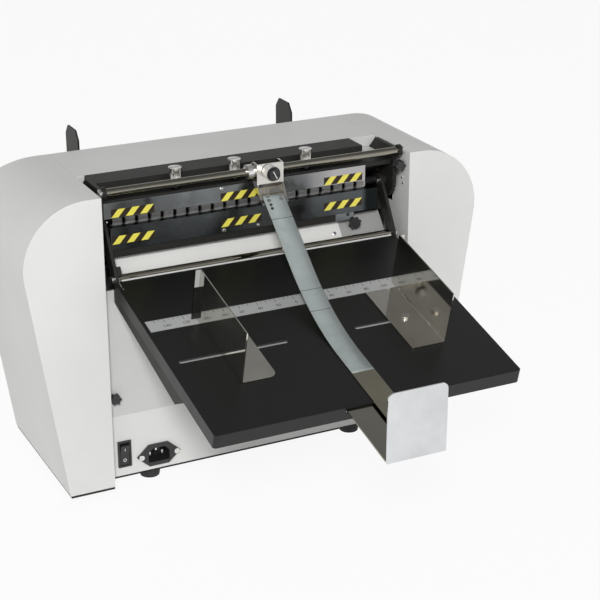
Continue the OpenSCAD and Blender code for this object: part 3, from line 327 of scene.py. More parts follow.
COVER, GUIDE_STEEL = (0.70, 0.70, 0.685), (0.66, 0.64, 0.585)
FINISH = {
    "cover": paint("cover_grey", COVER, 0.45),
    # panel: the darker grey on its upper part is painted shade
    "panel": two_tone(paint("panel_grey", COVER, 0.45), (0.58, 0.58, 0.57), AXIS_Z, PANEL_SHADE_Z),
    "white": two_tone(paint("ramp_white", (0.72, 0.72, 0.70), 0.42), (0.36, 0.36, 0.355),
                      AXIS_X, RAMP_SEAM_X),
    "black": paint("frame_black", (0.016, 0.0157, 0.014), 0.5, mottle=0.15, gloss=0.3),
    "tray": tray_paint(),
    "guide": polished("guide_steel", GUIDE_STEEL, 0.055),
    # left guide: its dark rear fold is a painted reflection of the black tray
    "left_guide": two_tone(polished("left_guide_steel", GUIDE_STEEL, 0.055), (0.06, 0.06, 0.058),
                           slope, GUIDE_BACK),
    "strip": polished("strip_steel", (0.46, 0.435, 0.34), 0.09),
    "stop": two_tone(polished("stop_steel", (0.69, 0.705, 0.715), 0.12), (0.40, 0.385, 0.33),
                     AXIS_Y, STOP_BACK_Y),
    # upper guard: its paler grey right part is a painted reflection
    "guard": two_tone(polished("guard_steel", (0.185, 0.195, 0.20), 0.2), (0.42, 0.41, 0.41),
                      AXIS_X, GUARD_SHEEN_X, GUARD_SHEEN_BLEND),
    # lower guard: its near-black right end is a painted shadow of the cheek and arm
    "lower_guard": two_tone(polished("lower_guard_steel", (0.085, 0.092, 0.096), 0.2), (0.012, 0.014, 0.014),
                            AXIS_X, GUARD_SHADOW_X, GUARD_SHADOW_BLEND),
    # rods: the dark brownish steel colour is a painted reflection of dark surroundings
    "rod": polished("rod_steel", (0.30, 0.285, 0.24), 0.08),
    "bright": metal("bright_zinc", (0.88, 0.87, 0.85), 0.26),
    "thumb": two_tone(metal("thumb_zinc", grey(0.03), 0.22), (0.77, 0.76, 0.73),
                      AXIS_Z, THUMB_FOOT_Z, THUMB_BLEND),
    "tab": polished("tab_steel", (0.20, 0.215, 0.22), 0.22),
    "zinc": metal("screw_zinc", (0.72, 0.71, 0.68), 0.20),
    "bracket": polished("bracket_steel", (0.66, 0.64, 0.60), 0.12),
    "ruler": paint("ruler_metal", (0.40, 0.41, 0.408), 0.38, grain=1500, relief=0.03 * MM),
    "rubber": plastic("foot_rubber", grey(0.02), 0.75, grain=900, relief=0.15 * MM),
    "plastic": plastic("black_plastic", (0.02, 0.02, 0.021), 0.38),
    "gear": plastic("gear_plastic", (0.62, 0.61, 0.56), 0.45),
    "bronze": metal("bush_bronze", (0.55, 0.38, 0.18), 0.32, grain=500),
    "motor": paint("motor_grey", (0.06, 0.06, 0.065), 0.4),
    "ring_up": roller_rings("upper_rings", "exit_upper_spin"),
    "ring_low": roller_rings("lower_rings", "exit_lower_spin"),
    "label": label_film(),
    "ink": plastic("print_ink", (0.03, 0.03, 0.032), 0.55),
    "yellow": paint("tape_yellow", (0.78, 0.70, 0.10), 0.35, mottle=0.10),
    "tape": paint("tape_black", (0.024, 0.015, 0.008), 0.45, mottle=0.15, gloss=0.3),
    "mark": plastic("white_mark", (0.75, 0.75, 0.73), 0.5),
}

NODE_FINISH = {
    "cover": "left_cover right_cover top_cover rear_panel",
    "panel": "front_panel",
    "white": "ramp_plate",
    "black": "base_plate left_cheek right_cheek lower_beam top_channel left_arm right_arm infeed_table "
             "left_feed_guide right_feed_guide",
    "tray": "tray",
    "guide": "right_guide",
    "left_guide": "left_guide",
    "strip": "hold_down_strip creasing_blades",
    "stop": "paper_stop",
    "guard": "upper_guard",
    "lower_guard": "lower_guard",
    "rod": "upper_rod lower_rod blade_shaft anvil_shaft tie_rods",
    "zinc": "frame_screws left_guide_screw right_guide_screw strip_screws inlet_pins",
    "thumb": "thumb_screw_1 thumb_screw_2 thumb_screw_3",
    "bright": "clamp_sleeve",
    "bracket": "clamp_bracket",
    "ruler": "ruler",
    "rubber": "rubber_feet drive_belt",
    "plastic": "clamp_knob side_knob ramp_knob panel_knob rocker_bezel rocker inlet",
    "gear": "exit_upper_gear exit_lower_gear blade_gear anvil_gear idler_gear motor_pulley driven_pulley",
    "bronze": "bushes",
    "motor": "drive_motor",
    "ring_up": "exit_upper_roller",
    "ring_low": "exit_lower_roller",
}
for finish, names in NODE_FINISH.items():
    for name in names.split():
        mesh = nodes[name].data
        mesh.materials.clear()
        mesh.materials.append(FINISH[finish])


# Softened edges on the CAD nodes, by width in millimetres

EDGE_MM = {
    2.0: "left_cover right_cover",
    0.8: "tray base_plate top_channel lower_beam rubber_feet drive_motor",
    0.6: "top_cover",
    0.5: "left_cheek right_cheek left_arm right_arm left_guide right_guide infeed_table side_knob ramp_knob "
         "panel_knob inlet frame_screws left_guide_screw right_guide_screw",
    0.4: "rear_panel ramp_plate left_feed_guide right_feed_guide clamp_knob rocker_bezel rocker "
         "thumb_screw_1 thumb_screw_2 thumb_screw_3",
    0.3: "upper_guard lower_guard paper_stop clamp_bracket",
}
EDGE_SEGMENTS, EDGE_ANGLE, WELD_GAP = 3, math.radians(35), 0.001 * MM
for width, names in EDGE_MM.items():
    for name in names.split():
        weld = nodes[name].modifiers.new("weld", "WELD")
        weld.merge_threshold = WELD_GAP
        edge = nodes[name].modifiers.new("edge", "BEVEL")
        edge.width = width * MM
        edge.segments = EDGE_SEGMENTS
        edge.limit_method = "ANGLE"
        edge.angle_limit = EDGE_ANGLE
        nodes[name].modifiers.new("normals", "WEIGHTED_NORMAL").keep_sharp = True


# Piece helpers


def in_scene(name, data):
    """A new object in the scene."""
    obj = bpy.data.objects.new(name, data)
    bpy.context.scene.collection.objects.link(obj)
    return obj


def add_piece(name, mesh, finish, body, smooth=False):
    """A piece of the object from a finished bmesh, with its finishes as materials in order."""
    finishes = [finish] if isinstance(finish, str) else finish
    data = bpy.data.meshes.new(name)
    bmesh.ops.recalc_face_normals(mesh, faces=mesh.faces)
    mesh.to_mesh(data)
    mesh.free()
    obj = in_scene(name, data)
    for key in finishes:
        data.materials.append(FINISH[key])
    for face in data.polygons:
        face.use_smooth = smooth
    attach(obj, body)


def rect(u0, v0, u1, v1):
    """Outline of a rectangle."""
    return [(u0, v0), (u1, v0), (u1, v1), (u0, v1)]


def scaled(outline):
    """An outline or profile given in millimetres."""
    return [(u * MM, v * MM) for u, v in outline]


def around(centre, axis, side):
    """Function that puts (across, up, out) in space about a centre, with the axis pointing out."""
    up = axis.cross(side)
    return lambda a, b, h: centre + side * a + up * b + axis * h


def prism(mesh, outline, place, depth, index=0):
    """Closed prism: an outline of flat points, each put in space by place(u, v, depth)."""
    low = [mesh.verts.new(place(u, v, 0.0)) for u, v in outline]
    high = [mesh.verts.new(place(u, v, depth)) for u, v in outline]
    count = len(outline)
    made = [mesh.faces.new(low[::-1]), mesh.faces.new(high)]
    for i in range(count):
        j = (i + 1) % count
        made.append(mesh.faces.new((low[i], low[j], high[j], high[i])))
    for face in made:
        face.material_index = index


def turned(mesh, rings, segments, place, wave=0.0, flutes=0, close=False):
    """Turned form from (radius, height) rings, with flutes where wave is set and ends where close is."""
    loops = []
    for radius, height in rings:
        loop = []
        for i in range(segments):
            a = 2 * math.pi * i / segments
            r = radius * (1 - wave * (0.5 + 0.5 * math.cos(flutes * a)))
            loop.append(mesh.verts.new(place(r * math.cos(a), r * math.sin(a), height)))
        loops.append(loop)
    for low, high in zip(loops, loops[1:]):
        for i in range(segments):
            j = (i + 1) % segments
            mesh.faces.new((low[i], low[j], high[j], high[i]))
    if close:
        mesh.faces.new(loops[0][::-1])
        mesh.faces.new(loops[-1])
    return loops


# A screw head's form, as parts of its radius and height
HEAD_DOME = ((1.0, 0.0), (1.0, 0.4), (0.9, 0.72), (0.68, 0.93), (0.4, 1.0))
HEAD_SEGMENTS = 32
CROSS_LONG, CROSS_WIDE, CROSS_FROM, CROSS_T = 0.42, 0.13, 0.9, 0.12


def pan_head(name, centre, axis, side, radius, height, finishes=("zinc", "ink")):
    """Domed screw head on the machine with a dark cross."""
    place = around(centre, axis, side)
    mesh = bmesh.new()
    turned(mesh, [(r * radius, h * height) for r, h in HEAD_DOME], HEAD_SEGMENTS, place, close=True)
    long, wide = CROSS_LONG * radius, CROSS_WIDE * radius
    for a, b in ((long, wide), (wide, long)):
        prism(mesh, rect(-a, -b, a, b), lambda u, v, d: place(u, v, height * CROSS_FROM + d),
              height * CROSS_T, 1)
    add_piece(name, mesh, finishes, "machine")


# Hazard tape on the guard plates

TAPE_X = (-156.5 * MM, -37 * MM, 82.5 * MM)
TAPE_LEN, TAPE_H, TAPE_T = 46 * MM, 8.5 * MM, 0.15 * MM
TAPE_RISE = {"upper_guard": 0.9 * MM, "lower_guard": 6.5 * MM}
TAPE_STRIPES, TAPE_LEAN = 6, 7.5 * MM
TAPE_MARGIN, TAPE_SLIVER = 1 * MM, 0.001 * MM
tape_pitch = TAPE_LEN / TAPE_STRIPES


def clip_u(points, limit, keep_low):
    """A convex outline cut at u = limit."""
    kept = []
    for (u0, v0), (u1, v1) in zip(points, points[1:] + points[:1]):
        inside0 = (u0 <= limit) == keep_low or u0 == limit
        inside1 = (u1 <= limit) == keep_low or u1 == limit
        if inside0:
            kept.append((u0, v0))
        if inside0 != inside1:
            t = (limit - u0) / (u1 - u0)
            kept.append((limit, v0 + (v1 - v0) * t))
    return kept


for guard, rise in TAPE_RISE.items():
    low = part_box(guard)[0]
    for i, x in enumerate(TAPE_X):
        tape = bmesh.new()
        x = max(x, low.x + TAPE_MARGIN)
        for k in range(-1, TAPE_STRIPES + 1):
            u = k * tape_pitch
            band = [(u, 0), (u + tape_pitch, 0),
                    (u + tape_pitch + TAPE_LEAN, TAPE_H), (u + TAPE_LEAN, TAPE_H)]
            band = clip_u(clip_u(band, 0, False), TAPE_LEN, True)
            if len(band) > 2 and max(p[0] for p in band) > min(p[0] for p in band) + TAPE_SLIVER:
                prism(tape, band, lambda u, v, d: Vector((x + u, low.y - d, low.z + rise + v)),
                      TAPE_T, k % 2)
        add_piece(f"hazard_tape_{guard[:5]}_{i + 1}", tape, ("yellow", "tape"), "machine")


# Ruler marks: a tick each 5 mm, longer at 10 and 20 mm, and numbers each 20 mm from the middle

RULER_S, RULER_W = 164.5 * MM, 18 * MM
TICK_GAP, TICK_END, TICK_EDGE = 5 * MM, 4 * MM, 0.6 * MM
TICK_20, TICK_10, TICK_5 = 5.5 * MM, 3.6 * MM, 2.4 * MM
TICK_WIDE, TICK_FINE = 0.55 * MM, 0.4 * MM
PRINT_T, PRINT_LIFT = 0.05 * MM, 0.01 * MM
NUMBER_STEP, NUMBER_COUNT, NUMBER_SIZE, NUMBER_RISE = 20, 7, 5.5 * MM, 4.5 * MM
ruler_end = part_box("ruler")[1].x

ticks = bmesh.new()
tick_count = int((ruler_end - TICK_END) / TICK_GAP)
for k in range(-tick_count + 1, tick_count + 1):
    length = TICK_20 if k % 4 == 0 else TICK_10 if k % 2 == 0 else TICK_5
    width = TICK_WIDE if k % 2 == 0 else TICK_FINE
    x, s = k * TICK_GAP, RULER_S + RULER_W - TICK_EDGE - length
    prism(ticks, rect(x - width / 2, s, x + width / 2, s + length),
          lambda u, v, d: on_tray(u, v, PRINT_LIFT + d), PRINT_T)
add_piece("ruler_ticks", ticks, "ink", "machine")

numbers = bmesh.new()
on_slope = Matrix((AXIS_X, slope, tray_up)).transposed().to_4x4()
for k in range(-NUMBER_COUNT, NUMBER_COUNT + 1):
    words = bpy.data.curves.new("digits", "FONT")
    words.body = str(abs(k) * NUMBER_STEP)
    words.size = NUMBER_SIZE
    words.align_x = "CENTER"
    words.extrude = PRINT_T / 2
    holder = in_scene("digits", words)
    bpy.context.view_layer.update()
    flat = bpy.data.meshes.new_from_object(holder.evaluated_get(bpy.context.evaluated_depsgraph_get()))
    spot = on_tray(k * NUMBER_STEP * MM, RULER_S + NUMBER_RISE, PRINT_LIFT + PRINT_T / 2)
    flat.transform(Matrix.Translation(spot) @ on_slope)
    numbers.from_mesh(flat)
    bpy.data.objects.remove(holder)
    bpy.data.curves.remove(words)
    bpy.data.meshes.remove(flat)
add_piece("ruler_numbers", numbers, "ink", "machine")


# Label on the hold-down strip, and dark lines across it

STRIP_ANGLE = math.radians(40.5)
STRIP_R, STRIP_T, STRIP_LIFT = 257 * MM, 0.6 * MM, 0.4 * MM
STRIP_DROP, STRIP_START = 8.45 * MM, 24 * MM
LABEL_IN, LABEL_START, LABEL_END_S = 0.4 * MM, 2.5 * MM, 45 * MM
LABEL_T, LABEL_LIFT, LABEL_STEPS = 0.12 * MM, 0.02 * MM, 60
LABEL_SEAMS = (28.5 * MM, 114.5 * MM, 141 * MM)
SEAM_W, SEAM_LOW, SEAM_HIGH = 0.5 * MM, 0.05 * MM, 0.06 * MM
strip_low, strip_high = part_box("hold_down_strip")
strip_down = Vector((0, -math.cos(STRIP_ANGLE), -math.sin(STRIP_ANGLE)))
strip_off = Vector((0, -math.sin(STRIP_ANGLE), math.cos(STRIP_ANGLE)))
strip_end = Vector((0, rod_axis.y, rod_axis.z)) + strip_down * STRIP_START - strip_off * STRIP_DROP
turn_angle = STRIP_ANGLE - math.asin(slope.z)
end_s = (strip_end - tray_front).dot(slope)
end_h = (strip_end - tray_front).dot(tray_up)
bend_s = end_s - (end_h - STRIP_LIFT) / math.tan(turn_angle) - STRIP_R * math.tan(turn_angle / 2)
straight = math.hypot(end_s - bend_s - STRIP_R * math.sin(turn_angle),
                      end_h - STRIP_LIFT - STRIP_R * (1 - math.cos(turn_angle)))


def on_strip(along, height):
    """Point down the strip from its clamped end and off its lower face, as (s, h) on the tray."""
    if along < straight:
        base = Vector((end_s, end_h)) - Vector((math.cos(turn_angle), math.sin(turn_angle))) * along
        return base + Vector((-math.sin(turn_angle), math.cos(turn_angle))) * height
    a = turn_angle - (along - straight) / STRIP_R
    if a > 0:
        r = STRIP_R - height
        return Vector((bend_s + r * math.sin(a), STRIP_LIFT + STRIP_R - r * math.cos(a)))
    return Vector((bend_s + a * STRIP_R, STRIP_LIFT + height))


def strip_band(mesh, start, end, base, top, steps):
    """Thin closed band as wide as the label that follows the strip."""
    x0, x1 = strip_low.x + LABEL_IN, strip_high.x - LABEL_IN
    rows = []
    for i in range(steps + 1):
        along = start + (end - start) * i / steps
        row = []
        for x, height in rect(x0, base, x1, top):
            s, h = on_strip(along, height)
            row.append(mesh.verts.new(on_tray(x, s, h)))
        rows.append(row)
    mesh.faces.new(rows[0])
    mesh.faces.new(rows[-1][::-1])
    for a, b in zip(rows, rows[1:]):
        for k in range(4):
            mesh.faces.new((a[k], a[(k + 1) % 4], b[(k + 1) % 4], b[k]))


label_end = straight + STRIP_R * turn_angle + (bend_s - LABEL_END_S)
band = bmesh.new()
strip_band(band, LABEL_START, label_end, STRIP_T + LABEL_LIFT, STRIP_T + LABEL_LIFT + LABEL_T, LABEL_STEPS)
add_piece("strip_label", band, "label", "strip_arm", True)
seams = bmesh.new()
for along in LABEL_SEAMS:
    start = LABEL_START + along
    strip_band(seams, start, start + SEAM_W, STRIP_T + SEAM_LOW, STRIP_T + LABEL_T + SEAM_HIGH, 1)
add_piece("label_seams", seams, "ink", "strip_arm")


# Knurled rings on the thumb screws and the clamp knob

FLUTE_STEPS, FLUTE_DEPTH = 6, 0.05
KNURL_CHAMFER, KNURL_SINK = 0.5 * MM, 0.2 * MM
THUMB_HEAD, THUMB_NECK, THUMB_GRIP, THUMB_GAP = 5 * MM, 5.3 * MM, 11 * MM, 0.1 * MM
THUMB_FLUTES, THUMB_SKIN = 24, 0.7 * MM
CLAMP_FLUTES, CLAMP_SKIN, CLAMP_LEN, CLAMP_OUT = 30, 0.5 * MM, 11.5 * MM, 0.6 * MM


def knurl(name, centre, axis, radius, length, flutes, skin, finish, body):
    """Fluted sleeve round a round head."""
    place = around(centre, axis, AXIS_X)
    mesh = bmesh.new()
    outer, edge, inner = radius + skin, radius + skin - KNURL_CHAMFER, radius - KNURL_SINK
    segments = flutes * FLUTE_STEPS
    profile = [(edge, 0.0), (outer, KNURL_CHAMFER), (outer, length - KNURL_CHAMFER), (edge, length)]
    skin_loops = turned(mesh, profile, segments, place, FLUTE_DEPTH, flutes)
    bore_loops = turned(mesh, [(inner, 0.0), (inner, length)], segments, place)
    for a, b in ((skin_loops[0], bore_loops[0]), (bore_loops[1], skin_loops[-1])):
        for i in range(segments):
            j = (i + 1) % segments
            mesh.faces.new((a[i], b[i], b[j], a[j]))
    add_piece(name, mesh, finish, body)


for i in (1, 2, 3):
    low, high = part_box(f"thumb_screw_{i}")
    foot = Vector(((low.x + high.x) / 2, (low.y + high.y) / 2, high.z - THUMB_HEAD - THUMB_GRIP))
    knurl(f"thumb_knurl_{i}", foot, AXIS_Z, THUMB_NECK, THUMB_GRIP - THUMB_GAP, THUMB_FLUTES, THUMB_SKIN,
          "thumb", f"thumb_{i}")
knob_low, knob_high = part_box("clamp_knob")
knob = Vector(joints["clamp_knob_turn"]["pos_m"])
knurl("clamp_knurl", knob + FRONT * CLAMP_OUT, FRONT, (knob_high.x - knob_low.x) / 2, CLAMP_LEN,
      CLAMP_FLUTES, CLAMP_SKIN, "bright", "clamp_screw")


# Small screws

GUARD_SCREW_IN, GUARD_SCREW_H = 3 * MM, 1.1 * MM
COVER_SCREWS = ((15.7 * MM, 287.5 * MM), (13.3 * MM, 281.5 * MM), (31 * MM, 270 * MM))
COVER_SCREW_R, COVER_SCREW_H = 1.7 * MM, 0.9 * MM
RAMP_SCREW_LEFT, RAMP_SCREW_DOWN, RAMP_SCREW_OUT = 23.5 * MM, 5.6 * MM, 1.5 * MM
RAMP_SCREW_R, RAMP_SCREW_H = 2.2 * MM, 1.2 * MM
REAR_SCREW_IN, REAR_SCREW_R, REAR_SCREW_H = 9 * MM, 3.2 * MM, 1.8 * MM
REAR_SCREW_RISE = (0.06, 0.94)

upper_low, upper_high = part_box("upper_guard")
lower_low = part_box("lower_guard")[0]
for name, x, y, z, radius in (
        ("upper_guard_screw", -36 * MM, upper_low.y, upper_high.z - GUARD_SCREW_IN, 2.2 * MM),
        ("lower_guard_screw", -34 * MM, lower_low.y, lower_low.z + GUARD_SCREW_IN, 2.2 * MM),
        ("lower_guard_screw_2", 5 * MM, lower_low.y, lower_low.z + GUARD_SCREW_IN, 1.8 * MM)):
    pan_head(name, Vector((x, y, z)), FRONT, AXIS_X, radius, GUARD_SCREW_H)
for i, (y, z) in enumerate(COVER_SCREWS):
    pan_head(f"cover_screw_{i + 1}", cover_low + AXIS_Y * y + AXIS_Z * z, -AXIS_X, AXIS_Z,
             COVER_SCREW_R, COVER_SCREW_H)
ramp_out = Vector(joints["ramp_knob_turn"]["axis"])
ramp_up = Vector((0, ramp_out.z, -ramp_out.y))
ramp_knob = Vector(joints["ramp_knob_turn"]["pos_m"])
ramp_spot = ramp_knob - AXIS_X * RAMP_SCREW_LEFT - ramp_up * RAMP_SCREW_DOWN + ramp_out * RAMP_SCREW_OUT
pan_head("ramp_screw", ramp_spot, ramp_out, AXIS_X, RAMP_SCREW_R, RAMP_SCREW_H)
rear_low, rear_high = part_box("rear_panel")
for row, rise in enumerate(REAR_SCREW_RISE):
    for column, side in enumerate((-1, 1)):
        spot = Vector((side * (rear_high.x - REAR_SCREW_IN), rear_high.y,
                       rear_low.z + (rear_high.z - rear_low.z) * rise))
        pan_head(f"rear_screw_{2 * row + column + 1}", spot, REAR, AXIS_X, REAR_SCREW_R, REAR_SCREW_H)


# Dark rivets through the label

RIVET_ALONG, RIVET_LEFT, RIVET_SEGMENTS = (14 * MM, 18.5 * MM), 6.5 * MM, 24
RIVET_DOME = ((1.7, -0.1), (1.7, 0.3), (1.2, 0.6), (0.5, 0.7))
rivets = bmesh.new()
for along in RIVET_ALONG:
    s, h = on_strip(along, STRIP_T + LABEL_T)
    head = on_tray((strip_low.x + strip_high.x) / 2 - RIVET_LEFT, s, h)
    turned(rivets, scaled(RIVET_DOME), RIVET_SEGMENTS,
           lambda a, b, d: head + AXIS_X * a + strip_down * b + strip_off * d, close=True)
add_piece("label_rivets", rivets, "ink", "strip_arm")


# Pale line in the slot of the clamp knob's cap

SLOT_LEAN, SLOT_SINK, SLOT_T = math.radians(62), 0.2 * MM, 0.35 * MM
SLOT = ((-4.6, -0.3), (-4.2, -0.45), (4.2, -0.45), (4.6, -0.3), (4.6, 0.3), (4.2, 0.45), (-4.2, 0.45),
        (-4.6, 0.3))
cap = Vector((knob.x, knob_low.y, knob.z))
slot_run = Vector((math.cos(SLOT_LEAN), 0, -math.sin(SLOT_LEAN)))
slot_side = Vector((math.sin(SLOT_LEAN), 0, math.cos(SLOT_LEAN)))
line = bmesh.new()
prism(line, scaled(SLOT), lambda u, v, d: cap + slot_run * u + slot_side * v + FRONT * (d - SLOT_SINK),
      SLOT_T)
add_piece("clamp_slot_line", line, "bright", "clamp_screw")


# Pale hem along the tray's rear edge: a painted highlight on the tray's rear lip

HEM = ((-1.7, -0.1), (0.4, -0.1), (0.4, 0.4), (0.1, 0.8), (-1.4, 0.8), (-1.7, 0.4))
HEM_IN = 8 * MM
tray_len = (tray_high.y - tray_front.y) / slope.y
hem_x = ruler_end - HEM_IN
hem = bmesh.new()
prism(hem, scaled(HEM), lambda u, v, d: on_tray(d - hem_x, tray_len + u, v), 2 * hem_x)
add_piece("tray_hem_painted_highlight", hem, "cover", "machine")


# Grey tab screwed to the right end of the lower beam

TAB_X0, TAB_X1, TAB_Z0, TAB_Z1 = 97 * MM, 119 * MM, 0.6 * MM, 10.6 * MM
TAB_T, TAB_CORNER = 0.8 * MM, 1.5 * MM
TAB_SCREW_X, TAB_SCREW_Z, TAB_SCREW_R, TAB_SCREW_H = 112 * MM, 6.5 * MM, 2 * MM, 1 * MM
beam_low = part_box("lower_beam")[0]
tab = bmesh.new()
tab_outline = [(TAB_X0, TAB_Z0), (TAB_X1, TAB_Z0), (TAB_X1, TAB_Z1 - TAB_CORNER),
               (TAB_X1 - TAB_CORNER, TAB_Z1), (TAB_X0, TAB_Z1)]
prism(tab, tab_outline, lambda u, v, d: Vector((u, beam_low.y - d, beam_low.z + v)), TAB_T)
add_piece("beam_tab", tab, "tab", "machine")
tab_screw = Vector((TAB_SCREW_X, beam_low.y - TAB_T, beam_low.z + TAB_SCREW_Z))
pan_head("beam_tab_screw", tab_screw, FRONT, AXIS_X, TAB_SCREW_R, TAB_SCREW_H, ("ink", "ink"))


# Pale plate on the top channel's floor, right of its rib

RIB_SHORT, RIB_D, CHANNEL_FLOOR = 25 * MM, 31 * MM, 5.5 * MM
PLATE_T, PLATE_CORNER = 0.6 * MM, 2 * MM
PLATE_RIB_GAP, PLATE_END_GAP, PLATE_REAR_GAP = 0.3 * MM, 0.5 * MM, 0.4 * MM
channel_low, channel_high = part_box("top_channel")
x0, x1 = channel_high.x - RIB_SHORT + PLATE_RIB_GAP, channel_high.x - PLATE_END_GAP
y0, y1 = channel_high.y - RIB_D, channel_high.y - PLATE_REAR_GAP
plate = bmesh.new()
prism(plate, [(x0, y0), (x1 - PLATE_CORNER, y0), (x1, y0 + PLATE_CORNER), (x1, y1), (x0, y1)],
      lambda u, v, d: Vector((u, v, channel_low.z + CHANNEL_FLOOR + d)), PLATE_T)
add_piece("channel_end_plate", plate, "cover", "machine")


# Bend radius inside each guide's fold

BEND_R, BEND_STEPS = 1.3 * MM, 5
bend_arc = [(0.0, 0.0)] + [(BEND_R * (1 - math.sin(a)), BEND_R * (1 - math.cos(a)))
                           for a in (math.pi / 2 * k / BEND_STEPS for k in range(BEND_STEPS + 1))]
for side, turn in (("left", 1), ("right", -1)):
    low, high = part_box(f"{side}_guide")
    outer = low.x if turn == 1 else high.x
    inner = outer + turn * (GUIDE_FOLD + GUIDE_T)
    bend = bmesh.new()
    prism(bend, bend_arc, lambda u, v, d: on_tray(inner + turn * u, GUIDE_S + d, GUIDE_TOP + v), GUIDE_LEN)
    add_piece(f"{side}_guide_bend", bend, "guide", f"{side}_guide_slider")


# Pale patch at the top of the left guide's rear fold: a painted reflection on the steel

PATCH_H, PATCH_T, PATCH_IN = 20 * MM, 0.15 * MM, 0.2 * MM
patch_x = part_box("left_guide")[0].x
patch_s, patch_low = GUIDE_S + GUIDE_WALL - GUIDE_T, GUIDE_TOP - GUIDE_T + GUIDE_H - PATCH_H
patch = bmesh.new()
prism(patch, rect(PATCH_IN, 0, GUIDE_FOLD, PATCH_H),
      lambda u, v, d: on_tray(patch_x + u, patch_s - d, patch_low + v), PATCH_T)
add_piece("left_guide_painted_reflection", patch, "ruler", "left_guide_slider")


# Marks on the rocker: a bar on its upper face and a ring on its lower one

ROCKER_REST, ROCKER_BORDER, ROCKER_OUT = math.radians(8), 3.1 * MM, 5.4 * MM
MARK_AT, MARK_LIFT, MARK_T = 0.55, 0.02 * MM, 0.06 * MM
BAR_HALF_W, BAR_HALF_H = 0.35 * MM, 1.6 * MM
RING_IN, RING_OUT, RING_STEPS = 1.2 * MM, 1.8 * MM, 20
bezel_low, bezel_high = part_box("rocker_bezel")
rocker_pivot = Vector(joints["rocker_tilt"]["pos_m"])
face_h = (bezel_high.z - bezel_low.z) / 2 - ROCKER_BORDER
face_rise = face_h * math.sin(ROCKER_REST)


def on_rocker(side, x, along, height):
    """Point on the upper (1) or lower (-1) face of the rocker, along it from the pivot's height."""
    run = Vector((0, -face_rise, side * face_h)).normalized()
    out = Vector((0, -face_h, -side * face_rise)).normalized()
    spot = Vector((x, -ROCKER_OUT, 0)) + run * along + out * height
    return rocker_pivot + Matrix.Rotation(ROCKER_REST, 3, "X") @ spot


marks = bmesh.new()
prism(marks, rect(-BAR_HALF_W, -BAR_HALF_H, BAR_HALF_W, BAR_HALF_H),
      lambda u, v, d: on_rocker(1, u, face_h * MARK_AT + v, MARK_LIFT + d), MARK_T)
for k in range(RING_STEPS):
    a, b = 2 * math.pi * k / RING_STEPS, 2 * math.pi * (k + 1) / RING_STEPS
    corners = ((RING_IN, a), (RING_OUT, a), (RING_OUT, b), (RING_IN, b))
    prism(marks, [(r * math.cos(t), r * math.sin(t)) for r, t in corners],
          lambda u, v, d: on_rocker(-1, u, face_h * MARK_AT + v, MARK_LIFT + d), MARK_T)
add_piece("rocker_marks", marks, "mark", "rocker_body")


# Camera at the photograph's angle

PHOTO_AZ, PHOTO_EL = math.radians(-26.35), math.radians(22.58)
PHOTO_DIST, PHOTO_F_PX, PHOTO_PX = 1.7482, 1631.2, 600
PHOTO_CX, PHOTO_CY = 300.7, 319.7
PHOTO_AIM_X, PHOTO_AIM_RISE = 43.8 * MM, 150.4 * MM
SENSOR = 36.0


def look(obj, direction):
    """Turns a camera or a lamp to face along a direction, upright."""
    obj.rotation_mode = "QUATERNION"
    obj.rotation_quaternion = direction.to_track_quat("-Z", "Y")


level = math.cos(PHOTO_EL)
back = Vector((math.sin(PHOTO_AZ) * level, -math.cos(PHOTO_AZ) * level, math.sin(PHOTO_EL)))
lens = bpy.data.cameras.new("camera")
lens.sensor_width = SENSOR
lens.lens = PHOTO_F_PX / PHOTO_PX * SENSOR
lens.shift_x = (PHOTO_PX / 2 - PHOTO_CX) / PHOTO_PX
lens.shift_y = (PHOTO_CY - PHOTO_PX / 2) / PHOTO_PX
camera = in_scene("camera", lens)
camera.location = Vector((PHOTO_AIM_X, cover_low.y, base_top + PHOTO_AIM_RISE)) + back * PHOTO_DIST
look(camera, -back)
bpy.context.scene.camera = camera


# Floor, world and lamp

FLOOR_HALF, FLOOR_ROUGH, FLOOR_GLOW = 6.0, 0.9, 0.92
SKY = ((0.0, 0.95), (0.25, 0.80), (0.65, 0.30), (1.0, 0.22))
SKY_STRENGTH = 0.9
KEY_PLACE, KEY_AIM = Vector((-1.23, -2.42, 1.90)), Vector((0, 0, 0.2))
KEY_SIZE, KEY_WATTS = 0.5, 67


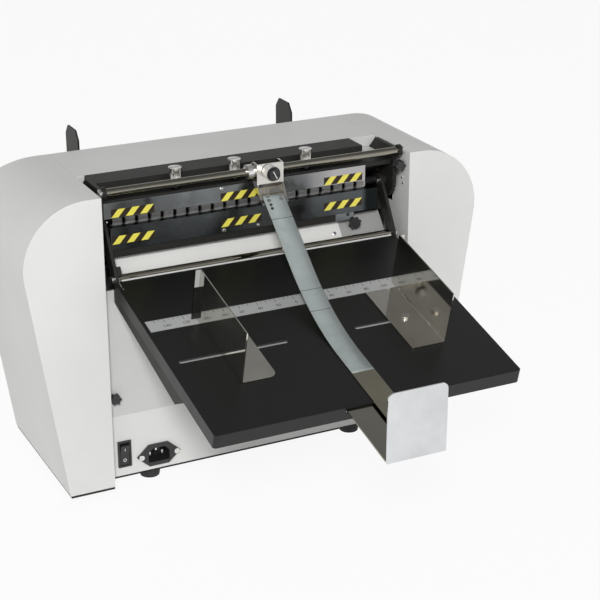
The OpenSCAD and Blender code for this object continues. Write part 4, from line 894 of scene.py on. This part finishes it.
def floor_white():
    """White floor that keeps the object's shadow and shows almost white, in metal too."""
    mat, tree, shader = new_material("floor_white")
    clouds = noise(tree, coords(tree), FLOOR_CLOUDS)
    colour_by(tree, shader, clouds, [(0.3, grey(0.86)), (0.7, grey(0.88))])
    shader.inputs["Roughness"].default_value = FLOOR_ROUGH
    glow = tree.nodes.new("ShaderNodeEmission")
    glow.inputs["Strength"].default_value = 1.0
    paler = mix_shaders(tree, FLOOR_GLOW, shader.outputs["BSDF"], glow.outputs["Emission"])
    path = tree.nodes.new("ShaderNodeLightPath")
    seen = tree.nodes.new("ShaderNodeMath")
    seen.operation = "MAXIMUM"
    tree.links.new(path.outputs["Is Camera Ray"], seen.inputs[0])
    tree.links.new(path.outputs["Is Glossy Ray"], seen.inputs[1])
    both = mix_shaders(tree, seen.outputs["Value"], shader.outputs["BSDF"], paler)
    tree.links.new(both, tree.nodes["Material Output"].inputs["Surface"])
    return mat


def studio_world():
    """Soft light that is paler near the horizon, behind a white backdrop."""
    world = bpy.data.worlds.new("studio")
    world.use_nodes = True
    tree = world.node_tree
    tree.nodes.clear()
    place = tree.nodes.new("ShaderNodeTexCoord")
    apart = tree.nodes.new("ShaderNodeSeparateXYZ")
    tree.links.new(place.outputs["Generated"], apart.inputs["Vector"])
    light = tree.nodes.new("ShaderNodeBackground")
    light.inputs["Strength"].default_value = SKY_STRENGTH
    sky = ramp(tree, apart.outputs["Z"], [(height, grey(tone)) for height, tone in SKY])
    tree.links.new(sky, light.inputs["Color"])
    backdrop = tree.nodes.new("ShaderNodeBackground")
    backdrop.inputs["Color"].default_value = (1, 1, 1, 1)
    backdrop.inputs["Strength"].default_value = 1.0
    path = tree.nodes.new("ShaderNodeLightPath")
    both = mix_shaders(tree, path.outputs["Is Camera Ray"], light.outputs["Background"],
                       backdrop.outputs["Background"])
    out = tree.nodes.new("ShaderNodeOutputWorld")
    tree.links.new(both, out.inputs["Surface"])
    return world


ground = bmesh.new()
bmesh.ops.create_grid(ground, x_segments=1, y_segments=1, size=FLOOR_HALF)
floor_mesh = bpy.data.meshes.new("floor")
ground.to_mesh(floor_mesh)
ground.free()
floor_mesh.materials.append(floor_white())
floor = in_scene("floor", floor_mesh)
floor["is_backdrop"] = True

bpy.context.scene.world = studio_world()

key = bpy.data.lights.new("key", "AREA")
key.size = KEY_SIZE
key.energy = KEY_WATTS
lamp = in_scene("key", key)
lamp.location = KEY_PLACE
look(lamp, KEY_AIM - KEY_PLACE)

bpy.context.scene.view_settings.view_transform = "Standard"

low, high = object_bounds()
